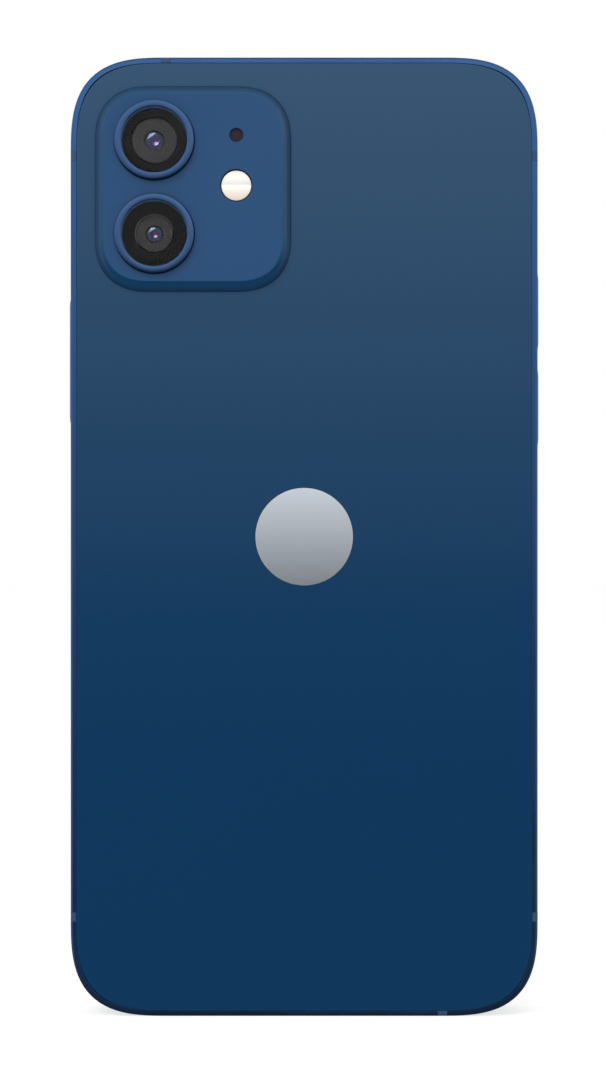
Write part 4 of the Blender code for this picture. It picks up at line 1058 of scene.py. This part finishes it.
def make_lens(name, body, finishes):
    """One camera: its ring, window, black trim, barrel front and coated front element."""
    at, radius, rise = round_box(f"{name}_lens_ring")
    lip = radius - RING_LIP
    seat, bore = lip - 0.1 * MM, lip - 0.7 * MM
    profile = [(radius, rise), (radius, RING_BROW)]
    profile += arc((radius - RING_BROW, RING_BROW), RING_BROW, -10, -80, 6)
    profile += [(lip + RING_BROW, 0), (lip + RING_BROW / 2, 0.02 * MM), (lip, 0.14 * MM)]
    profile += [(lip, RING_WELL), (bore, RING_WELL), (bore, rise), (radius, rise)]
    ring = turned(f"{name}_ring", at, profile)
    finish_piece(ring, finishes["ring"], "frame", "rail", f"{name}_lens_ring")

    at, _, thickness = round_box(f"{name}_lens_window")
    reach = lip - HAIRLINE
    profile = [(0, 0), (reach - WINDOW_EDGE, 0), (reach, WINDOW_EDGE), (reach, thickness), (0, thickness)]
    window = turned(f"{name}_window", at, profile)
    finish_piece(window, finishes["window"], "frame", "lens_glass", f"{name}_lens_window")

    behind = (at.x, at.y + thickness + HAIRLINE, at.z)
    at, radius, length = round_box(f"{name}_lens_barrel")
    inner, collar = radius + BARREL_ROOM, radius + BARREL_ROOM + 0.08 * MM
    thin, deep = 0.06 * MM, 0.25 * MM
    profile = [(seat, 0), (inner, 0), (inner, deep), (collar, deep), (collar, thin), (seat, thin), (seat, 0)]
    trim = turned(f"{name}_trim", behind, profile)
    finish_piece(trim, finishes["ink"], "frame", "black_plastic")

    mouth, edge = PUPIL_SHARES[name] * radius, BARREL_EDGE
    profile = [(0, length), (radius, length), (radius, edge), (radius - edge, 0)]
    profile += [(mouth + 0.12 * MM, 0), (mouth, edge), (mouth, MM), (0, MM)]
    barrel = turned(f"{name}_barrel", at, profile)
    finish_piece(barrel, finishes["barrel"], body, "black_plastic", f"{name}_lens_barrel")
    make_element(name, body, at, mouth - HAIRLINE, finishes)


def make_element(name, body, at, radius, finishes):
    """The front lens group: a rounded outer ring and a hollowed middle, each with its own coating."""
    crest = HOLLOW_SHARE * radius
    outer, hollow = (radius - crest) / math.sin(RING_FALL), crest / math.sin(HOLLOW_FALL)
    depth = 0.12 * MM
    dip = depth + hollow * (1 - math.cos(HOLLOW_FALL))
    points = [(0, dip)]
    for step in range(1, ELEMENT_STEPS + 1):
        angle = HOLLOW_FALL * step / ELEMENT_STEPS
        points.append((hollow * math.sin(angle), dip - hollow * (1 - math.cos(angle))))
    for step in range(1, ELEMENT_STEPS + 1):
        angle = RING_FALL * step / ELEMENT_STEPS
        points.append((crest + outer * math.sin(angle), depth + outer * (1 - math.cos(angle))))
    points += [(radius, 0.95 * MM), (0, 0.95 * MM)]
    element = turned(f"{name}_element", at, points, segments=64)
    smooth(element, 30)
    for material in (finishes["front_coating"], finishes["rear_coating"]):
        element.data.materials.append(material)
    near = at.y + dip + 10 * TOUCH

    def in_hollow(middle, normal):
        """Whether a face belongs to the hollowed middle."""
        aside = math.hypot(middle.x - at.x, middle.z - at.z)
        return middle.y < near and normal.y < 0 and aside < crest

    paint(element, 1, in_hollow)
    place_on(element, body, "lens_glass")


def make_flash(cream, dark):
    """The flash's diffuser, gently domed, in a thin dark surround."""
    at, radius, depth = round_box("flash_lens")
    rim, dome = radius - FLASH_SURROUND, FLASH_DOME
    sweep = math.degrees(math.asin(rim / dome))
    profile = arc((0, dome), dome, -90, -90 + sweep, 6) + [(rim, depth), (0, depth)]
    lens = turned("flash_diffuser", at, profile, segments=72)
    finish_piece(lens, cream, "frame", "flash_lens", "flash_lens")
    inner, front = rim + HAIRLINE, 0.1 * MM
    profile = [(inner, front), (radius, front), (radius, MM), (inner, MM), (inner, front)]
    surround = turned("flash_surround", at, profile, segments=72)
    finish_piece(surround, dark, "frame", "black_plastic")


def make_rear_microphone(mesh):
    """The microphone's woven cap, set down in its hole."""
    at, radius, depth = round_box("rear_microphone")
    inner, sunk = radius - 0.1 * MM, 0.15 * MM
    profile = [(0, sunk), (inner, sunk), (inner, 0), (radius, 0), (radius, depth), (0, depth)]
    cap = turned("microphone_cap", at, profile, segments=48)
    finish_piece(cap, mesh, "frame", "black_plastic", "rear_microphone")


# The screen


def earpiece_cutter(name):
    """A cutter for the earpiece's slot, a little larger than its mesh."""
    low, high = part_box("earpiece_mesh")
    gap = Vector((0.1 * MM, MM, 0.1 * MM))
    return stadium(name, low - gap, high + gap, 1, segments=14)


def make_cover(glass):
    """The cover glass with its earpiece slot."""
    cover = slab("cover_pane", PANE_INSET, (SCREEN_Y - PANE_THICKNESS, SCREEN_Y))
    bevel(cover, lies_at(1, SCREEN_Y), COVER_EDGE, 6)
    combine(cover, [earpiece_cutter("earpiece_slot")])
    finish_piece(cover, glass, "frame", "cover_glass", "cover_glass")


def make_border(ink):
    """The black border printed behind the cover glass, open at the display, the eyes and the earpiece."""
    inner = SCREEN_Y - PANE_THICKNESS
    print_range = (inner - 2 * PRINT_THICKNESS, inner - PRINT_THICKNESS)
    border = slab("printed_border", PANE_INSET + 0.1 * MM, print_range)
    active = slab("active", ACTIVE_INSET, (inner - MM, inner + MM))
    top = HEIGHT - ACTIVE_INSET
    notch_low = Vector((-NOTCH_WIDTH / 2, inner - 2 * MM, top - NOTCH_DEPTH))
    notch_high = Vector((NOTCH_WIDTH / 2, inner + 2 * MM, top + 2 * MM))
    notch = block("notch", notch_low, notch_high)
    bevel(notch, lambda a, b: runs_along(1)(a, b) and a.z < top, NOTCH_CORNER, 10)
    combine(active, [notch])
    combine(border, [active])
    openings = []
    for name in EYES:
        middle = node_middle(name)
        openings.append(rod(f"{name}_eye", (middle.x, inner, middle.z), EYE_RADIUS, -MM, MM, segments=40))
    combine(border, openings + [earpiece_cutter("print_slot")])
    finish_piece(border, ink, "frame", "display")


# The parts that stay as the frame gives them


def dress_frame_nodes(finishes):
    """Gives every CAD node that still shows, or shows when a piece moves, its own finish."""
    for material, names in finishes:
        for name in names:
            dress(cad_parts[name], material)


# The stage


def make_stage():
    """A plain white floor, a key light over the left shoulder, a top light, and one for lens glints."""
    bpy.ops.object.select_all(action="DESELECT")
    bpy.ops.mesh.primitive_plane_add(size=6.0, location=(0, 0, 0))
    floor = bpy.context.object
    floor.name = floor.data.name = "floor"
    floor.visible_glossy = False
    material, tree, shader, place = finish_shell("studio_floor", Roughness=0.9, IOR=1.1)
    colour_base(tree, shader, place, (0.3, 0.3, 0.3, 1.0), 0.01, 0.5)
    shader.inputs["Emission Color"].default_value = (1.0, 1.0, 1.0, 1.0)
    shader.inputs["Emission Strength"].default_value = FLOOR_GLOW
    dress(floor, material)
    add_light("key_light", (-0.55, -0.73, 1.05), 0.45, 8.0).visible_glossy = False
    add_light("top_light", (0.1, -0.15, 1.25), 0.9, 6.0).visible_glossy = False
    glint = add_light("glint_light", (-0.42, -1.0, 0.86), 0.7, 22.0)
    glint.visible_diffuse = False
    fronts = bpy.data.collections.new("lens_fronts")
    for name in ("wide_window", "wide_element", "ultrawide_window", "ultrawide_element"):
        fronts.objects.link(bpy.data.objects[name])
    glint.light_linking.receiver_collection = fronts


def add_light(name, location, size, power):
    """A square soft light that faces the middle of the phone."""
    bpy.ops.object.light_add(type="AREA", location=location)
    lamp = bpy.context.object
    lamp.name = name
    lamp.data.shape = "SQUARE"
    lamp.data.size = size
    lamp.data.energy = power
    aim = Vector((0, 0, HEIGHT / 2)) - Vector(location)
    lamp.rotation_euler = aim.to_track_quat("-Z", "Y").to_euler()
    return lamp


def greys(stops):
    """A ramp's stops from (height from -1 to 1, brightness) pairs, scaled so that none is above one."""
    return [((height + 1) / 2, 3 * (brightness / BRIGHTEST,)) for height, brightness in stops]


def make_studio():
    """A pale room: white to look at, and to reflect, brighter above and with a dark card low in front."""
    world = bpy.data.worlds.new("studio")
    bpy.context.scene.world = world
    world.use_nodes = True
    tree = world.node_tree
    way = tree.nodes.new("ShaderNodeTexCoord").outputs["Generated"]
    parts = node(tree, "ShaderNodeSeparateXYZ", Vector=way)
    height = remapped(tree, parts.outputs["Z"], -1.0, 1.0)
    room = node(tree, "ShaderNodeValToRGB", Fac=height)
    card = node(tree, "ShaderNodeValToRGB", Fac=height)
    below = ((-1.0, 0.1), (-0.5, 0.15), (-0.25, 0.45), (-0.1, 0.85))
    set_stops(room, greys(below + ((0.3, 1.0), (0.6, 0.9), (1.0, 0.6))))
    low_front = ((-1.0, 0.15), (-0.5, 0.08), (-0.25, 0.03), (-0.113, 0.02), (-0.031, 0.105))
    middle_front = ((-0.001, 0.29), (0.03, 0.42), (0.06, 0.55), (0.106, 0.775))
    upper_front = ((0.146, 0.97), (0.195, 1.19), (0.23, 1.4), (0.3, 1.5), (0.6, 1.2))
    set_stops(card, greys(low_front + middle_front + upper_front))
    ahead = remapped(tree, parts.outputs["Y"], -0.72, -0.92, interpolation_type_="SMOOTHSTEP")
    around = blend(tree, ahead, room.outputs["Color"], card.outputs["Color"])
    seen = tree.nodes.new("ShaderNodeLightPath").outputs["Is Camera Ray"]
    white = (1.0 / BRIGHTEST, 1.0 / BRIGHTEST, 1.0 / BRIGHTEST, 1.0)
    shine = tree.nodes["Background"]
    tree.links.new(blend(tree, seen, around, white), shine.inputs["Color"])
    shine.inputs["Strength"].default_value = BRIGHTEST


def make_camera():
    """A camera straight behind the phone, far enough back to see the plateau's sides only just."""
    data = bpy.data.cameras.new("camera")
    camera = bpy.data.objects.new("camera", data)
    bpy.context.scene.collection.objects.link(camera)
    data.sensor_fit = "VERTICAL"
    data.sensor_height = SENSOR_HEIGHT
    data.lens = SENSOR_HEIGHT * CAMERA_DISTANCE / VIEW_HEIGHT
    data.clip_start = 0.01
    camera.location = CAMERA_PLACE
    camera.rotation_euler = (math.pi / 2, 0, 0)
    bpy.context.scene.camera = camera


def main():
    """Builds every piece, the stage and the camera."""
    make_camera()
    metal = blue_rail()
    ink, gold = black_print(), plain_metal("contact_gold", (0.75, 0.52, 0.2), 0.25)
    band_plastic = moulded("band_plastic", (0.012, 0.048, 0.115), 0.45)
    mesh = woven_mesh("black_mesh", (0.035, 0.024, 0.036), 0.00012)
    make_rail(metal)
    make_bands(band_plastic)
    for name in BUTTONS:
        make_button(name, metal)
    make_lever(metal)
    for name, side in (("left", -1), ("right", 1)):
        make_screw(name, side, metal)
    make_tray(metal)
    make_card(moulded("card_plastic", (0.75, 0.75, 0.73)))
    make_contacts(gold)
    make_back(back_paint(), plateau_frost(), shaded_plateau_side())
    make_emblem(emblem_silver(node_middle("back_emblem").z))
    lens = {
        "ring": ring_metal(),
        "window": lens_window_glass(),
        "ink": ink,
        "barrel": barrel_black(),
        "front_coating": lens_coating("front_coating", (0.5, 0.84, 1.0), (0.009, 0.006, 0.027), 0.06),
        "rear_coating": lens_coating("rear_coating", (0.68, 0.5, 0.95), (0.01, 0.006, 0.03), 0.08),
    }
    make_lens("wide", "wide_lens_barrel", lens)
    make_lens("ultrawide", "frame", lens)
    make_flash(flash_diffuser(node_middle("flash_lens").z), ink)
    make_rear_microphone(mesh)
    make_cover(black_cover_glass())
    make_border(ink)
    plastic = moulded("module_plastic", (0.012, 0.012, 0.013))
    steel = plain_metal("stamped_steel", (0.5, 0.5, 0.52), 0.35)
    plate = plain_metal("machined_aluminium", (0.42, 0.43, 0.45), 0.4)
    board = moulded("board_lacquer", (0.01, 0.035, 0.03), 0.35)
    copper = plain_metal("enamelled_copper", (0.6, 0.26, 0.12), 0.3)
    steels = ["wide_camera_housing", "ultrawide_camera_housing", "side_switch", "volume_up_switch"]
    steels += ["volume_down_switch", "sim_reader", "charging_port", "haptic_housing", "display_shield"]
    blacks = ["wide_focus_frame", "ring_switch_base", "loudspeaker", "earpiece_speaker"]
    blacks += [*EYES, "processor", "battery", "display_seal"]
    boards = ["lower_logic_board", "upper_logic_board", "wide_camera_sensor", "ultrawide_camera_sensor"]
    dress_frame_nodes(
        (
            (steel, steels + ["magnet_ring", "haptic_mass"]),
            (plastic, blacks),
            (plate, ["mid_plate", "wide_stabiliser_frame"]),
            (board, boards),
            (gold, ["charging_port_contacts", "board_interposer", "flash_led"]),
            (copper, ["charging_coil"]),
            (mesh, ["loudspeaker_mesh", "bottom_microphone_mesh", "earpiece_mesh"]),
            (display_face(), ["display_panel"]),
        )
    )
    make_stage()
    make_studio()
    bpy.context.scene.view_settings.view_transform = "Standard"


main()
